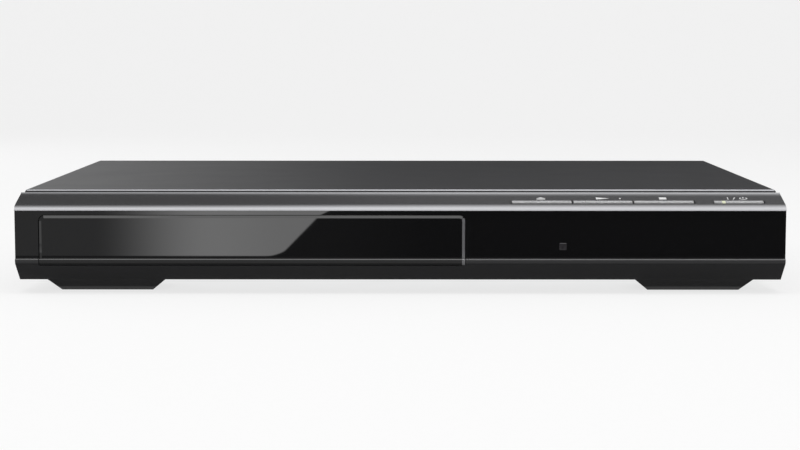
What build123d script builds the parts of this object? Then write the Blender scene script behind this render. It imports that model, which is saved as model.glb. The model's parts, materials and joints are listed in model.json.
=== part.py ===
"""A slim free-standing disc player: sheet-steel case, moulded front, tray loader, boards and sockets.

Millimetres, +Z up, +X to the right seen from the front, front towards -Y.
The origin is on the surface it stands on, under the middle of its bounding box.
"""

import math
import os

from build123d import *

# Driving sizes of the whole player
WIDTH = 320.0
DEPTH = 211.0
HEIGHT = 42.4
FOOT_HEIGHT = 5.0
SOCKET_REACH = 8.0
COVER_INSET = 1.0
SHEET = 0.8
NOSE_DEPTH = 17.0
UNDERCUT_DEPTH = 9.5

# Clearances shared by every fit
SLIDE_GAP = 0.3
SEAM_GAP = 0.4
SHAFT_GAP = 0.05
OVERRUN = 1.0

# Planes that the sizes above give
COVER_WIDTH = WIDTH - 2 * COVER_INSET
FRONT_Y = -DEPTH / 2
REAR_Y = DEPTH / 2 - SOCKET_REACH
CHASSIS_FRONT_Y = FRONT_Y + NOSE_DEPTH
FLOOR_Z = FOOT_HEIGHT + SHEET
COVER_Z = HEIGHT - SHEET
INNER_HALF = COVER_WIDTH / 2 - SHEET

# The tray door sets where the loader stands
DOOR_INSET = 10.0
DOOR_WIDTH = 177.0
DOOR_DEPTH = 6.0
DOOR_LEFT = -WIDTH / 2 + DOOR_INSET
DOOR_RIGHT = DOOR_LEFT + DOOR_WIDTH
LOADER_X = DOOR_LEFT + DOOR_WIDTH / 2
CONTROL_WIDTH = WIDTH - DOOR_INSET - DOOR_WIDTH

# The disc and the tray that carries it
DISC_RADIUS = 60.0
TRAY_WIDTH = 140.0
TRAY_LENGTH = 158.0
LOADER_SEAT = 1.4
TRAY_LIFT = 12.8
LOADER_Z = FLOOR_Z + LOADER_SEAT
TRAY_Z = LOADER_Z + TRAY_LIFT
TRAY_FLOOR = 1.6
TRAY_RIM = 4.6
RECESS_RADIUS = DISC_RADIUS + 2 * SLIDE_GAP
RECESS_MARGIN = 8.0
TRAY_FRONT_Y = FRONT_Y + DOOR_DEPTH
DISC_Y = TRAY_FRONT_Y + RECESS_MARGIN + RECESS_RADIUS
TRAY_TRAVEL = 138.0

# The deck swings on a rear axis, and is stored lowered
REAR_SPACE = 26.4
LOADER_TAIL = 12.0
DECK_LIFT = 6.0
LOADER_REAR_Y = REAR_Y - REAR_SPACE
HINGE_Y = LOADER_REAR_Y - LOADER_TAIL
DECK_ARM = HINGE_Y - DISC_Y
HINGE_BELOW = 3.0
HINGE_Z = TRAY_Z - HINGE_BELOW
DECK_DROP = math.degrees(math.asin(DECK_LIFT / DECK_ARM))

PARTS = {}


def keep(name, shape):
    """Remembers a finished piece under its node name."""
    PARTS[name] = shape
    return shape


def block(x0, x1, y0, y1, z0, z1):
    """Box between two corners."""
    middle = Pos((x0 + x1) / 2, (y0 + y1) / 2, (z0 + z1) / 2)
    return middle * Box(x1 - x0, y1 - y0, z1 - z0)


def rod_z(x, y, z0, z1, radius):
    return Pos(x, y, (z0 + z1) / 2) * Cylinder(radius, z1 - z0)


def rod_y(x, z, y0, y1, radius):
    return Pos(x, (y0 + y1) / 2, z) * Rot(X=90) * Cylinder(radius, y1 - y0)


def rod_x(y, z, x0, x1, radius):
    return Pos((x0 + x1) / 2, y, z) * Rot(Y=90) * Cylinder(radius, x1 - x0)


def prism_x(outline, x0, x1):
    """Carries a side outline, drawn as (Y, Z) points or a face, along X."""
    face = outline if isinstance(outline, (Face, Sketch)) else make_face(Polyline(*outline, close=True))
    return extrude(Pos(x0, 0, 0) * (Plane.YZ * face), amount=x1 - x0)


def prism_z(outline, z0, z1):
    """Carries a plan outline, drawn as (X, Y) points or a face, up Z."""
    face = outline if isinstance(outline, (Face, Sketch)) else make_face(Polyline(*outline, close=True))
    return extrude(Pos(0, 0, z0) * face, amount=z1 - z0)


def lowered(shape):
    """Swings a piece of the deck from its playing height down to where it is stored."""
    return shape.rotate(Axis((0, HINGE_Y, HINGE_Z), (1, 0, 0)), DECK_DROP)


# Case: bottom chassis, a folded pan with upstands, board pillars and vents
UPSTAND = 12.0
FRONT_UPSTAND = 6.0
PAN_GAP = 0.1
PILLAR_RADIUS = 3.0
SCREW_RADIUS = 1.5
SCREW_HOLE = SCREW_RADIUS + SHAFT_GAP
BOARD_LIFT = 6.2
BOARD_Z = FLOOR_Z + BOARD_LIFT
BOARD_THICK = 1.6
PAN_HALF = INNER_HALF - PAN_GAP
PAN_REAR_Y = REAR_Y - SHEET
VENT_WIDTH = 2.6
VENT_PITCH = 6.0
VENT_COUNT = 8
VENT_ROWS = 2

# Boards stand to the right of the loader
BOARD_GAP = 3.0
POWER_BOARD_INSET = 6.0
MAIN_BOARD_SETBACK = 30.4
POWER_BOARD_SETBACK = 36.4
MAIN_BOARD_SHARE = 0.56
PILLAR_INSET = 5.0
BOARD_REAR_Y = REAR_Y - 2 * SHEET
BOARD_ROOM = CONTROL_WIDTH - 3 * BOARD_GAP - POWER_BOARD_INSET
MAIN_BOARD_WIDTH = BOARD_ROOM * MAIN_BOARD_SHARE
MAIN_BOARD_LENGTH = BOARD_REAR_Y - CHASSIS_FRONT_Y - MAIN_BOARD_SETBACK
POWER_BOARD_WIDTH = BOARD_ROOM - MAIN_BOARD_WIDTH
POWER_BOARD_LENGTH = BOARD_REAR_Y - CHASSIS_FRONT_Y - POWER_BOARD_SETBACK
VENT_LENGTH = POWER_BOARD_WIDTH / 2
MAIN_BOARD_X = DOOR_RIGHT + BOARD_GAP
POWER_BOARD_X = WIDTH / 2 - POWER_BOARD_INSET - POWER_BOARD_WIDTH
MAIN_BOARD = (MAIN_BOARD_X, MAIN_BOARD_X + MAIN_BOARD_WIDTH, BOARD_REAR_Y - MAIN_BOARD_LENGTH, BOARD_REAR_Y)
POWER_BOARD = (POWER_BOARD_X, POWER_BOARD_X + POWER_BOARD_WIDTH, BOARD_REAR_Y - POWER_BOARD_LENGTH, BOARD_REAR_Y)

# Beads pressed up in the pan's floor, as shares of the loader's width
BEAD_WIDTH = 9.0
BEAD_RISE = 0.8
BEAD_SETBACK = 34.0
BEAD_SHARES = (-0.3, 0.0, 0.3)
QUARTER_DEG = 90.0

# The loader's four mounting ears
LOADER_SIDE = 5.0
LOADER_SETBACK = 15.0
LOADER_HALF = TRAY_WIDTH / 2 + LOADER_SIDE
LOADER_FRONT_Y = FRONT_Y + LOADER_SETBACK
EAR_INSET = 6.0
SEAT_RADIUS = 4.5

# Screws that hold the cover
HEAD_RADIUS = 2.9
HEAD_HEIGHT = 1.0
SIDE_SCREW_SHARES = (-0.19, 0.28)
SIDE_SCREW_Y = [share * DEPTH for share in SIDE_SCREW_SHARES]
SIDE_SCREW_Z = FLOOR_Z + UPSTAND / 2
REAR_SCREW_SHARES = (-0.375, 0.0, 0.375)
REAR_SCREW_X = [share * WIDTH for share in REAR_SCREW_SHARES]
COVER_REAR_FLANGE = 7.0
REAR_SCREW_Z = HEIGHT - COVER_REAR_FLANGE / 2
SCREW_LENGTH = 5.0


def board_pillar_places(board):
    """Plan places of a board's four screws, inset from its corners."""
    x0, x1, y0, y1 = board
    return [(x, y) for x in (x0 + PILLAR_INSET, x1 - PILLAR_INSET)
            for y in (y0 + PILLAR_INSET, y1 - PILLAR_INSET - SOCKET_BODY_DEPTH)]


def loader_seat_places():
    return [(LOADER_X + side * (LOADER_HALF - EAR_INSET), y) for side in (-1, 1)
            for y in (LOADER_FRONT_Y + 2 * EAR_INSET, LOADER_REAR_Y - EAR_INSET)]


def rounded_slot(x, y, length, width, z0, z1, turn=0):
    return Pos(x, y, z0) * Rot(Z=turn) * extrude(SlotOverall(length, width), amount=z1 - z0)


def make_chassis():
    floor = block(-PAN_HALF, PAN_HALF, CHASSIS_FRONT_Y, PAN_REAR_Y, FOOT_HEIGHT, FLOOR_Z)
    sides = [block(min(s * PAN_HALF, s * (PAN_HALF - SHEET)), max(s * PAN_HALF, s * (PAN_HALF - SHEET)),
                   CHASSIS_FRONT_Y, PAN_REAR_Y, FOOT_HEIGHT, FLOOR_Z + UPSTAND) for s in (-1, 1)]
    front = block(DOOR_LEFT + DOOR_WIDTH, PAN_HALF, CHASSIS_FRONT_Y, CHASSIS_FRONT_Y + SHEET,
                  FOOT_HEIGHT, FLOOR_Z + FRONT_UPSTAND)
    pillars = [rod_z(x, y, FOOT_HEIGHT, BOARD_Z, PILLAR_RADIUS)
               for board in (MAIN_BOARD, POWER_BOARD) for x, y in board_pillar_places(board)]
    seats = [rod_z(x, y, FOOT_HEIGHT, LOADER_Z, SEAT_RADIUS) for x, y in loader_seat_places()]
    bead_y = (CHASSIS_FRONT_Y + REAR_Y) / 2
    bead_length = REAR_Y - CHASSIS_FRONT_Y - 2 * BEAD_SETBACK
    bead_places = [(LOADER_X + 2 * share * LOADER_HALF, bead_y) for share in BEAD_SHARES]
    beads = [rounded_slot(x, y, bead_length, BEAD_WIDTH, FOOT_HEIGHT, FLOOR_Z + BEAD_RISE, QUARTER_DEG) for x, y in bead_places]
    pan = floor + sides + [front] + pillars + seats + beads
    holes = [rod_z(x, y, FOOT_HEIGHT - OVERRUN, BOARD_Z + OVERRUN, SCREW_HOLE)
             for board in (MAIN_BOARD, POWER_BOARD) for x, y in board_pillar_places(board)]
    holes += [rod_z(x, y, FOOT_HEIGHT - OVERRUN, LOADER_Z + OVERRUN, SCREW_HOLE) for x, y in loader_seat_places()]
    holes += [rod_x(y, SIDE_SCREW_Z, -COVER_WIDTH, COVER_WIDTH, SCREW_HOLE) for y in SIDE_SCREW_Y]
    vent_x = (POWER_BOARD[0] + POWER_BOARD[1]) / 2
    vent_y = (POWER_BOARD[2] + POWER_BOARD[3]) / 2
    for row in range(VENT_ROWS):
        for n in range(VENT_COUNT):
            x = vent_x + (row - (VENT_ROWS - 1) / 2) * (VENT_LENGTH - VENT_WIDTH)
            y = vent_y + (n - (VENT_COUNT - 1) / 2) * VENT_PITCH
            holes.append(rounded_slot(x, y, VENT_LENGTH - 2 * VENT_WIDTH, VENT_WIDTH,
                                      FOOT_HEIGHT - OVERRUN, FLOOR_Z + OVERRUN))
    holes += [rounded_slot(x, y, bead_length - 2 * SHEET, BEAD_WIDTH - 2 * SHEET, FOOT_HEIGHT - OVERRUN,
                           FOOT_HEIGHT + BEAD_RISE, QUARTER_DEG) for x, y in bead_places]
    return keep("bottom_chassis", pan - holes)


# Case: top cover, one folded sheet with a rounded front hem, side skirts and a rear flange
SKIRT_LIFT = 1.2
SKIRT_Z = FOOT_HEIGHT + SKIRT_LIFT
FOLD_RADIUS = 1.6
HEM_DROP = 1.0


def make_cover():
    half = COVER_WIDTH / 2
    outer = block(-half, half, CHASSIS_FRONT_Y, REAR_Y + SHEET, SKIRT_Z, HEIGHT)
    outer = fillet(outer.edges().filter_by(Axis.Y).group_by(Axis.Z)[-1], FOLD_RADIUS)
    outer = fillet(outer.edges().filter_by(Axis.X).group_by(Axis.Z)[-1].sort_by(Axis.Y)[0], SHEET)
    inner = block(-INNER_HALF, INNER_HALF, CHASSIS_FRONT_Y - OVERRUN, REAR_Y, SKIRT_Z - OVERRUN, COVER_Z)
    inner = fillet(inner.edges().filter_by(Axis.Y).group_by(Axis.Z)[-1], FOLD_RADIUS - SHEET)
    below_flange = block(-half - OVERRUN, half + OVERRUN, REAR_Y - OVERRUN, REAR_Y + SHEET + OVERRUN,
                         SKIRT_Z - OVERRUN, HEIGHT - COVER_REAR_FLANGE)
    hem = block(-INNER_HALF, INNER_HALF, CHASSIS_FRONT_Y, CHASSIS_FRONT_Y + SHEET, COVER_Z - HEM_DROP, COVER_Z)
    holes = [rod_x(y, SIDE_SCREW_Z, -COVER_WIDTH, COVER_WIDTH, SCREW_HOLE) for y in SIDE_SCREW_Y]
    holes += [rod_y(x, REAR_SCREW_Z, REAR_Y - OVERRUN, REAR_Y + SHEET + OVERRUN, SCREW_HOLE) for x in REAR_SCREW_X]
    return keep("top_cover", outer - inner - below_flange + hem - holes)


# Case: rear panel with the socket holes and the mains inlet's cut-out
SOCKET_PITCH = 14.0
SOCKET_ROW_PITCH = 12.0
SOCKET_SHARE = 0.69
SOCKET_RISE = 6.2
SOCKET_BODY_DEPTH = 13.0
COLLAR_RADIUS = 5.0
INLET_INSET = 22.0
INLET_RISE = 10.0
INLET_HALF_WIDTH = 11.0
INLET_HALF_HEIGHT = 7.0
INLET_FLANGE = 3.0
SOCKET_LOW_Z = BOARD_Z + SOCKET_RISE
INLET_X = WIDTH / 2 - INLET_INSET
INLET_Z = BOARD_Z + INLET_RISE
INLET_LEFT_X = INLET_X - INLET_HALF_WIDTH - INLET_FLANGE

# Sockets in two rows: colour of the insert, column and row
SOCKETS = (("green", 0, 1), ("blue", 1, 1), ("red", 2, 1), ("orange", 3, 1),
           ("yellow", 0, 0), ("white", 1, 0), ("red", 2, 0))
SOCKET_COLUMNS = max(column for _, column, _ in SOCKETS)
SOCKET_LEFT_X = INLET_LEFT_X - SOCKET_SHARE * (INLET_LEFT_X - DOOR_RIGHT) - SOCKET_COLUMNS * SOCKET_PITCH / 2
REAR_VENT_INSET = 10.0


def socket_place(column, row):
    return SOCKET_LEFT_X + column * SOCKET_PITCH, SOCKET_LOW_Z + row * SOCKET_ROW_PITCH


def make_rear_panel():
    plate = block(-INNER_HALF + PAN_GAP, INNER_HALF - PAN_GAP, PAN_REAR_Y, REAR_Y, FOOT_HEIGHT, COVER_Z - PAN_GAP)
    plate = fillet(plate.edges().filter_by(Axis.Y).group_by(Axis.Z)[-1], FOLD_RADIUS)
    holes = [rod_y(*socket_place(column, row), PAN_REAR_Y - OVERRUN, REAR_Y + OVERRUN, COLLAR_RADIUS + SHAFT_GAP)
             for _, column, row in SOCKETS]
    screw_places = [(x, REAR_SCREW_Z) for x in REAR_SCREW_X] + [socket_place(SOCKET_COLUMNS, 0)]
    holes += [rod_y(x, z, PAN_REAR_Y - OVERRUN, REAR_Y + OVERRUN, SCREW_HOLE) for x, z in screw_places]
    holes.append(block(INLET_X - INLET_HALF_WIDTH, INLET_X + INLET_HALF_WIDTH, PAN_REAR_Y - OVERRUN, REAR_Y + OVERRUN,
                       INLET_Z - INLET_HALF_HEIGHT, INLET_Z + INLET_HALF_HEIGHT))
    for side in (-1, 1):
        for n in range(VENT_COUNT):
            x = side * (LOADER_HALF - REAR_VENT_INSET - n * VENT_PITCH) + LOADER_X
            holes.append(block(x - VENT_WIDTH / 2, x + VENT_WIDTH / 2, PAN_REAR_Y - OVERRUN, REAR_Y + OVERRUN,
                               SOCKET_LOW_Z, SOCKET_LOW_Z + SOCKET_PITCH))
    return keep("rear_panel", plate - holes)


# Case: four tapered feet with pads let into them
FOOT_TOP_LENGTH = 49.6
FOOT_BASE_LENGTH = 38.4
FOOT_TOP_DEPTH = 24.0
FOOT_BASE_DEPTH = 18.0
FOOT_INSET = 36.4
FOOT_X = WIDTH / 2 - FOOT_INSET
FRONT_FOOT_Y = FRONT_Y + UNDERCUT_DEPTH + FOOT_TOP_DEPTH / 2
REAR_FOOT_Y = REAR_Y - FOOT_TOP_DEPTH
PAD_INSET = 3.0
PAD_THICK = 1.2
PAD_RECESS = 0.9


def make_feet():
    feet = []
    pads = []
    for y in (FRONT_FOOT_Y, REAR_FOOT_Y):
        for x in (-FOOT_X, FOOT_X):
            base_z = PAD_THICK - PAD_RECESS
            low = Pos(x, y, base_z) * Rectangle(FOOT_BASE_LENGTH, FOOT_BASE_DEPTH)
            high = Pos(x, y, FOOT_HEIGHT) * Rectangle(FOOT_TOP_LENGTH, FOOT_TOP_DEPTH)
            foot = loft([low.face(), high.face()])
            pad_x = FOOT_BASE_LENGTH / 2 - PAD_INSET
            pad_y = FOOT_BASE_DEPTH / 2 - PAD_INSET
            pad = block(x - pad_x, x + pad_x, y - pad_y, y + pad_y, 0, PAD_THICK)
            pad = fillet(pad.edges().filter_by(Axis.Z), PAD_INSET)
            pads.append(pad)
            feet.append((foot - pad).solid())
    keep("case_feet", Compound(feet))
    keep("foot_pads", Compound(pads))


# Case: the screws that hold the cover, shown as one group
def screw(place, direction, length):
    """A pan-head screw whose head rests at a place and whose shank runs along a direction."""
    plane = Plane(origin=place, z_dir=direction)
    head = Pos(0, 0, -HEAD_HEIGHT / 2) * Cylinder(HEAD_RADIUS, HEAD_HEIGHT)
    head = fillet(head.edges().group_by(Axis.Z)[0], HEAD_HEIGHT / 2)
    shank = Pos(0, 0, length / 2) * Cylinder(SCREW_RADIUS, length)
    return plane * (head + shank)


def make_cover_screws():
    half = COVER_WIDTH / 2
    screws = [screw((side * half, y, SIDE_SCREW_Z), (-side, 0, 0), SCREW_LENGTH) for side in (-1, 1) for y in SIDE_SCREW_Y]
    screws += [screw((x, REAR_Y + SHEET, REAR_SCREW_Z), (0, -1, 0), SCREW_LENGTH) for x in REAR_SCREW_X]
    x, z = socket_place(SOCKET_COLUMNS, 0)
    screws.append(screw((x, REAR_Y, z), (0, -1, 0), SCREW_LENGTH))
    keep("cover_screws", Compound([s.solid() for s in screws]))


# Front: the side outline shared by the moulding, the glossy panel and the tray door
FACE_SETBACK = 0.8
PANEL_THICK = 2.0
FRONT_WALL = 1.8
LIP_RISE = 7.9
LIP_HEIGHT = 2.0
LIP_UNDER_ROUND = 2.2
LIP_TOP_ROUND = 0.75
NOSE_HEIGHT = 1.6
NOSE_LEAN = 1.0
NOSE_ROUND = 4.6
LEDGE_DEPTH = 16.2
LEDGE_DROP = 1.2
LEDGE_RISE = 4.7
LEDGE_EDGE_ROUND = 0.6
TONGUE_DEPTH = 7.0
TONGUE_THICK = 1.6
END_WALL = 2.0
LEDGE_WALL = 2.0
LIP_BASE_Z = FOOT_HEIGHT + LIP_RISE
FACE_LOW_Z = LIP_BASE_Z + LIP_HEIGHT
LEDGE_END_Z = HEIGHT - LEDGE_DROP
NOSE_Z = LEDGE_END_Z - LEDGE_RISE
FACE_TOP_Z = NOSE_Z - NOSE_HEIGHT
LEDGE_SLOPE = LEDGE_RISE / LEDGE_DEPTH
TONGUE_TOP_Z = COVER_Z - HEM_DROP - SLIDE_GAP
TONGUE_UNDER_Z = TONGUE_TOP_Z - TONGUE_THICK
PANEL_BACK = FACE_SETBACK + PANEL_THICK
CAVITY_FRONT = PANEL_BACK + FRONT_WALL
CAVITY_FLOOR_Z = FOOT_HEIGHT + FRONT_WALL


def ledge_z(behind):
    """Height of the button ledge at a distance behind the front."""
    return NOSE_Z + LEDGE_SLOPE * behind


def rounded_face(corners):
    """A face from (behind, height, radius) corners, with the corners that have a radius rounded."""
    face = make_face(Polyline(*[(b, z) for b, z, _ in corners], close=True))
    for b, z, radius in corners:
        if radius:
            face = fillet(face.vertices().sort_by_distance((b, z, 0))[0], radius)
    return face.face()


def front_outline(setback):
    """Outline of the front with its flat face at a setback behind the lips."""
    return rounded_face([
        (NOSE_DEPTH, FOOT_HEIGHT, 0), (UNDERCUT_DEPTH, FOOT_HEIGHT, 0),
        (0, LIP_BASE_Z, LIP_UNDER_ROUND), (0, FACE_LOW_Z, LIP_TOP_ROUND),
        (setback, FACE_LOW_Z, 0), (setback, FACE_TOP_Z, 0),
        (0, FACE_TOP_Z, 0), (NOSE_LEAN, ledge_z(NOSE_LEAN), NOSE_ROUND),
        (LEDGE_DEPTH, LEDGE_END_Z, LEDGE_EDGE_ROUND), (LEDGE_DEPTH, TONGUE_TOP_Z, 0),
        (LEDGE_DEPTH + TONGUE_DEPTH, TONGUE_TOP_Z, 0), (LEDGE_DEPTH + TONGUE_DEPTH, TONGUE_UNDER_Z, 0),
        (NOSE_DEPTH, TONGUE_UNDER_Z, 0),
    ])


def along_front(face, x0, x1):
    """Carries an outline measured from the front across the player."""
    return Pos(0, FRONT_Y, 0) * prism_x(face, x0, x1)


def under_ledge_z(behind):
    return ledge_z(behind) - LEDGE_WALL


def cavity_outline():
    """Inside of the front moulding, open to the rear."""
    slope = FOOT_HEIGHT - LIP_BASE_Z
    inner_low_z = LIP_BASE_Z + slope * CAVITY_FRONT / UNDERCUT_DEPTH + 2 * FRONT_WALL
    ledge_end = LEDGE_DEPTH - 2 * LEDGE_WALL
    rear = LEDGE_DEPTH + TONGUE_DEPTH + OVERRUN
    return make_face(Polyline(
        (rear, CAVITY_FLOOR_Z), (UNDERCUT_DEPTH + FRONT_WALL, CAVITY_FLOOR_Z), (CAVITY_FRONT, inner_low_z),
        (CAVITY_FRONT, under_ledge_z(CAVITY_FRONT)), (ledge_end, under_ledge_z(ledge_end)),
        (LEDGE_DEPTH, TONGUE_UNDER_Z), (rear, TONGUE_UNDER_Z), close=True))


# Front: tray door opening, keys and remote window
DOOR_LIP_LAP = 0.8
DOOR_TOP_INSET = 2.1
DOOR_LOW_Z = LIP_BASE_Z - DOOR_LIP_LAP
DOOR_TOP_Z = FACE_TOP_Z - DOOR_TOP_INSET
DOOR_CORNER = 2.4
DOOR_GAP = 0.25
DOOR_BEVEL = 1.1
DOOR_BEVEL_DEPTH = 0.35
DOOR_WALL = 2.0
KEY_FRONT = 4.6
KEY_REAR = 7.0
KEY_PROUD = 0.15
KEY_SLOT_GAP = 0.7
KEY_FLANGE = 1.2
KEY_LAP = 1.2
KEY_RIB = 0.5
KEY_ROUND = 0.5
KEY_TRAVEL = 0.8
KEY_ROW_GAP = 19.7
KEY_ROW_INSET = 37.7
POWER_KEY_LENGTH = 20.4
POWER_KEY_INSET = 8.7
ROW_KEYS = ("eject_key", "play_key", "stop_key")
KEY_ROW_X = DOOR_RIGHT + KEY_ROW_GAP
KEY_ROW_RIGHT = WIDTH / 2 - KEY_ROW_INSET
KEY_PITCH = (KEY_ROW_RIGHT - KEY_ROW_X + SLIDE_GAP) / len(ROW_KEYS)
KEY_LENGTH = KEY_PITCH - SLIDE_GAP
POWER_KEY_X = WIDTH / 2 - POWER_KEY_INSET - POWER_KEY_LENGTH
KEYS = [(name, KEY_ROW_X + n * KEY_PITCH, KEY_ROW_X + n * KEY_PITCH + KEY_LENGTH) for n, name in enumerate(ROW_KEYS)]
KEYS.append(("power_key", POWER_KEY_X, POWER_KEY_X + POWER_KEY_LENGTH))
KEY_SLOTS = ((KEY_ROW_X, KEY_ROW_RIGHT), (POWER_KEY_X, POWER_KEY_X + POWER_KEY_LENGTH))
LIGHT_INSET = 3.9
LIGHT_WIDTH = 1.4
LIGHT_X = POWER_KEY_X + LIGHT_INSET
REMOTE_GAP = 40.7
REMOTE_RISE = 5.0
REMOTE_SIDE = 3.2
REMOTE_X = DOOR_RIGHT + REMOTE_GAP
REMOTE_Z = FACE_LOW_Z + REMOTE_RISE
FRONT_BOARD_GAP = 13.0
FRONT_BOARD_INSET = 6.0
FRONT_BOARD_BEHIND = 9.6
FRONT_BOARD_RISE = 1.2
FRONT_BOSS_INSET = 8.0
FRONT_BOSS_RISE = 5.6
FRONT_BOARD_X = DOOR_RIGHT + FRONT_BOARD_GAP
FRONT_BOARD_WIDTH = WIDTH / 2 - FRONT_BOARD_INSET - FRONT_BOARD_X
FRONT_BOARD_Y = FRONT_Y + FRONT_BOARD_BEHIND
FRONT_BOSS_X = (FRONT_BOARD_X + FRONT_BOSS_INSET, FRONT_BOARD_X + FRONT_BOARD_WIDTH - FRONT_BOSS_INSET)
FRONT_BOSS_Z = FACE_LOW_Z + FRONT_BOSS_RISE


def door_window(gap, behind):
    """Block with the door's outline, grown by a gap, from the front to a depth."""
    mask = block(DOOR_LEFT - gap, DOOR_RIGHT + gap, FRONT_Y - OVERRUN, FRONT_Y + behind, DOOR_LOW_Z - gap, DOOR_TOP_Z + gap)
    upper = mask.edges().filter_by(Axis.Y).group_by(Axis.Z)[-1]
    return fillet(upper, DOOR_CORNER + gap)


def make_bezel():
    half = WIDTH / 2
    shell = along_front(front_outline(PANEL_BACK), -half, half)
    shell -= along_front(cavity_outline(), -half + END_WALL, half - END_WALL)
    side_gap = half - INNER_HALF + PAN_GAP
    for x0, x1 in ((-half - OVERRUN, -half + side_gap), (half - side_gap, half + OVERRUN)):
        shell -= block(x0, x1, CHASSIS_FRONT_Y, CHASSIS_FRONT_Y + TONGUE_DEPTH, FOOT_HEIGHT, HEIGHT)
    bosses = [rod_y(x, FRONT_BOSS_Z, FRONT_Y + PANEL_BACK, FRONT_BOARD_Y, PILLAR_RADIUS) for x in FRONT_BOSS_X]
    holes = [door_window(DOOR_GAP, NOSE_DEPTH)]
    holes += [block(x0 - KEY_SLOT_GAP, x1 + KEY_SLOT_GAP, FRONT_Y + KEY_FRONT - KEY_SLOT_GAP, FRONT_Y + KEY_REAR + SLIDE_GAP,
                    FACE_TOP_Z, HEIGHT) for x0, x1 in KEY_SLOTS]
    holes += [rod_y(x, FRONT_BOSS_Z, FRONT_Y + CAVITY_FRONT, FRONT_BOARD_Y + OVERRUN, SCREW_HOLE)
              for x in FRONT_BOSS_X]
    holes.append(block(REMOTE_X - REMOTE_SIDE, REMOTE_X + REMOTE_SIDE, FRONT_Y, FRONT_Y + CAVITY_FRONT + OVERRUN,
                       REMOTE_Z - REMOTE_SIDE, REMOTE_Z + REMOTE_SIDE))
    return keep("front_bezel", shell + bosses - holes)


def make_panel():
    half = WIDTH / 2
    plate = block(-half, half, FRONT_Y + FACE_SETBACK, FRONT_Y + PANEL_BACK, FACE_LOW_Z, FACE_TOP_Z)
    window = block(REMOTE_X - REMOTE_SIDE / 2, REMOTE_X + REMOTE_SIDE / 2, FRONT_Y, FRONT_Y + DOOR_DEPTH,
                   REMOTE_Z - REMOTE_SIDE / 2, REMOTE_Z + REMOTE_SIDE / 2)
    keep("front_panel", plate - door_window(DOOR_GAP, NOSE_DEPTH) - window)
    lens = block(REMOTE_X - REMOTE_SIDE / 2, REMOTE_X + REMOTE_SIDE / 2, FRONT_Y + FACE_SETBACK, FRONT_Y + CAVITY_FRONT,
                 REMOTE_Z - REMOTE_SIDE / 2, REMOTE_Z + REMOTE_SIDE / 2)
    keep("remote_window", fillet(lens.edges().group_by(Axis.Y)[0], FACE_SETBACK / 2))


def make_door():
    """The tray's front: the same face and lip as the panel beside it, hollow behind, with bevelled edges."""
    slab = along_front(front_outline(FACE_SETBACK), DOOR_LEFT, DOOR_RIGHT) & door_window(0, DOOR_DEPTH)
    face_y = FRONT_Y + FACE_SETBACK
    rim = slab.edges().filter_by(lambda e: abs(e.bounding_box().max.Y - face_y) < SHAFT_GAP
                                 and e.bounding_box().max.Z > FACE_LOW_Z + SEAM_GAP)
    flat = slab.faces().filter_by(lambda f: f.bounding_box().size.Y < SHAFT_GAP and abs(f.center().Y - face_y) < SHAFT_GAP)[0]
    slab = chamfer(rim, DOOR_BEVEL, DOOR_BEVEL_DEPTH, reference=flat)
    hollow = block(DOOR_LEFT + DOOR_WALL, DOOR_RIGHT - DOOR_WALL, face_y + DOOR_WALL, FRONT_Y + DOOR_DEPTH + OVERRUN,
                   FACE_LOW_Z, DOOR_TOP_Z - DOOR_WALL)
    keep_solid = block(LOADER_X - TRAY_WIDTH / 2, LOADER_X + TRAY_WIDTH / 2, face_y, FRONT_Y + DOOR_DEPTH,
                       TRAY_Z, TRAY_Z + TRAY_RIM)
    return keep("tray_door", slab - (hollow - keep_solid))


def key_outline():
    """Side outline of a key: a bar standing proud of the ledge, with a flange that keeps it in."""
    flange_rear = KEY_REAR + KEY_LAP
    drop = LEDGE_WALL + SLIDE_GAP
    return make_face(Polyline(
        (KEY_FRONT, ledge_z(KEY_FRONT) - drop - KEY_FLANGE), (KEY_FRONT, ledge_z(KEY_FRONT) + KEY_PROUD),
        (KEY_REAR, ledge_z(KEY_REAR) + KEY_PROUD), (KEY_REAR, ledge_z(KEY_REAR) - drop),
        (flange_rear, ledge_z(flange_rear) - drop), (flange_rear, ledge_z(flange_rear) - drop - KEY_FLANGE), close=True))


KEY_LOW_Z = ledge_z(KEY_FRONT) - LEDGE_WALL - SLIDE_GAP - KEY_FLANGE - KEY_RIB


def make_keys():
    for name, x0, x1 in KEYS:
        bar = along_front(key_outline(), x0, x1)
        top = bar.edges().filter_by(Axis.X).group_by(Axis.Z)[-1]
        bar = fillet(top, KEY_ROUND)
        middle = (x0 + x1) / 2
        rib = block(middle - KEY_FLANGE, middle + KEY_FLANGE, FRONT_Y + KEY_FRONT, FRONT_Y + KEY_REAR,
                    KEY_LOW_Z, ledge_z(KEY_FRONT) - LEDGE_WALL)
        bar += rib
        if x0 < LIGHT_X < x1:
            slot = block(LIGHT_X - LIGHT_WIDTH / 2, LIGHT_X + LIGHT_WIDTH / 2, FRONT_Y, FRONT_Y + NOSE_DEPTH, 0, HEIGHT)
            keep("power_light", bar & slot)
            bar = bar - slot
            low = ledge_z(KEY_FRONT) - LEDGE_WALL
            spine = block(x0, x1, FRONT_Y + KEY_REAR - KEY_ROUND, FRONT_Y + KEY_REAR + KEY_LAP,
                          low - SLIDE_GAP - KEY_FLANGE, low - SLIDE_GAP)
            PARTS["power_light"] -= spine
            bar += spine
        keep(name, bar)


# Front: the circuit board behind the panel, with its switches and remote receiver
SWITCH_SIDE = 6.0
SWITCH_DEPTH = 4.4
PLUNGER_RADIUS = 1.5
PLUNGER_HEIGHT = 0.7
KEY_REST_GAP = KEY_TRAVEL + SHAFT_GAP
PLUNGER_TOP_Z = KEY_LOW_Z - KEY_REST_GAP
RECEIVER_WIDTH = 5.6
RECEIVER_HEIGHT = 7.0
RECEIVER_DEPTH = 3.0


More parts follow.
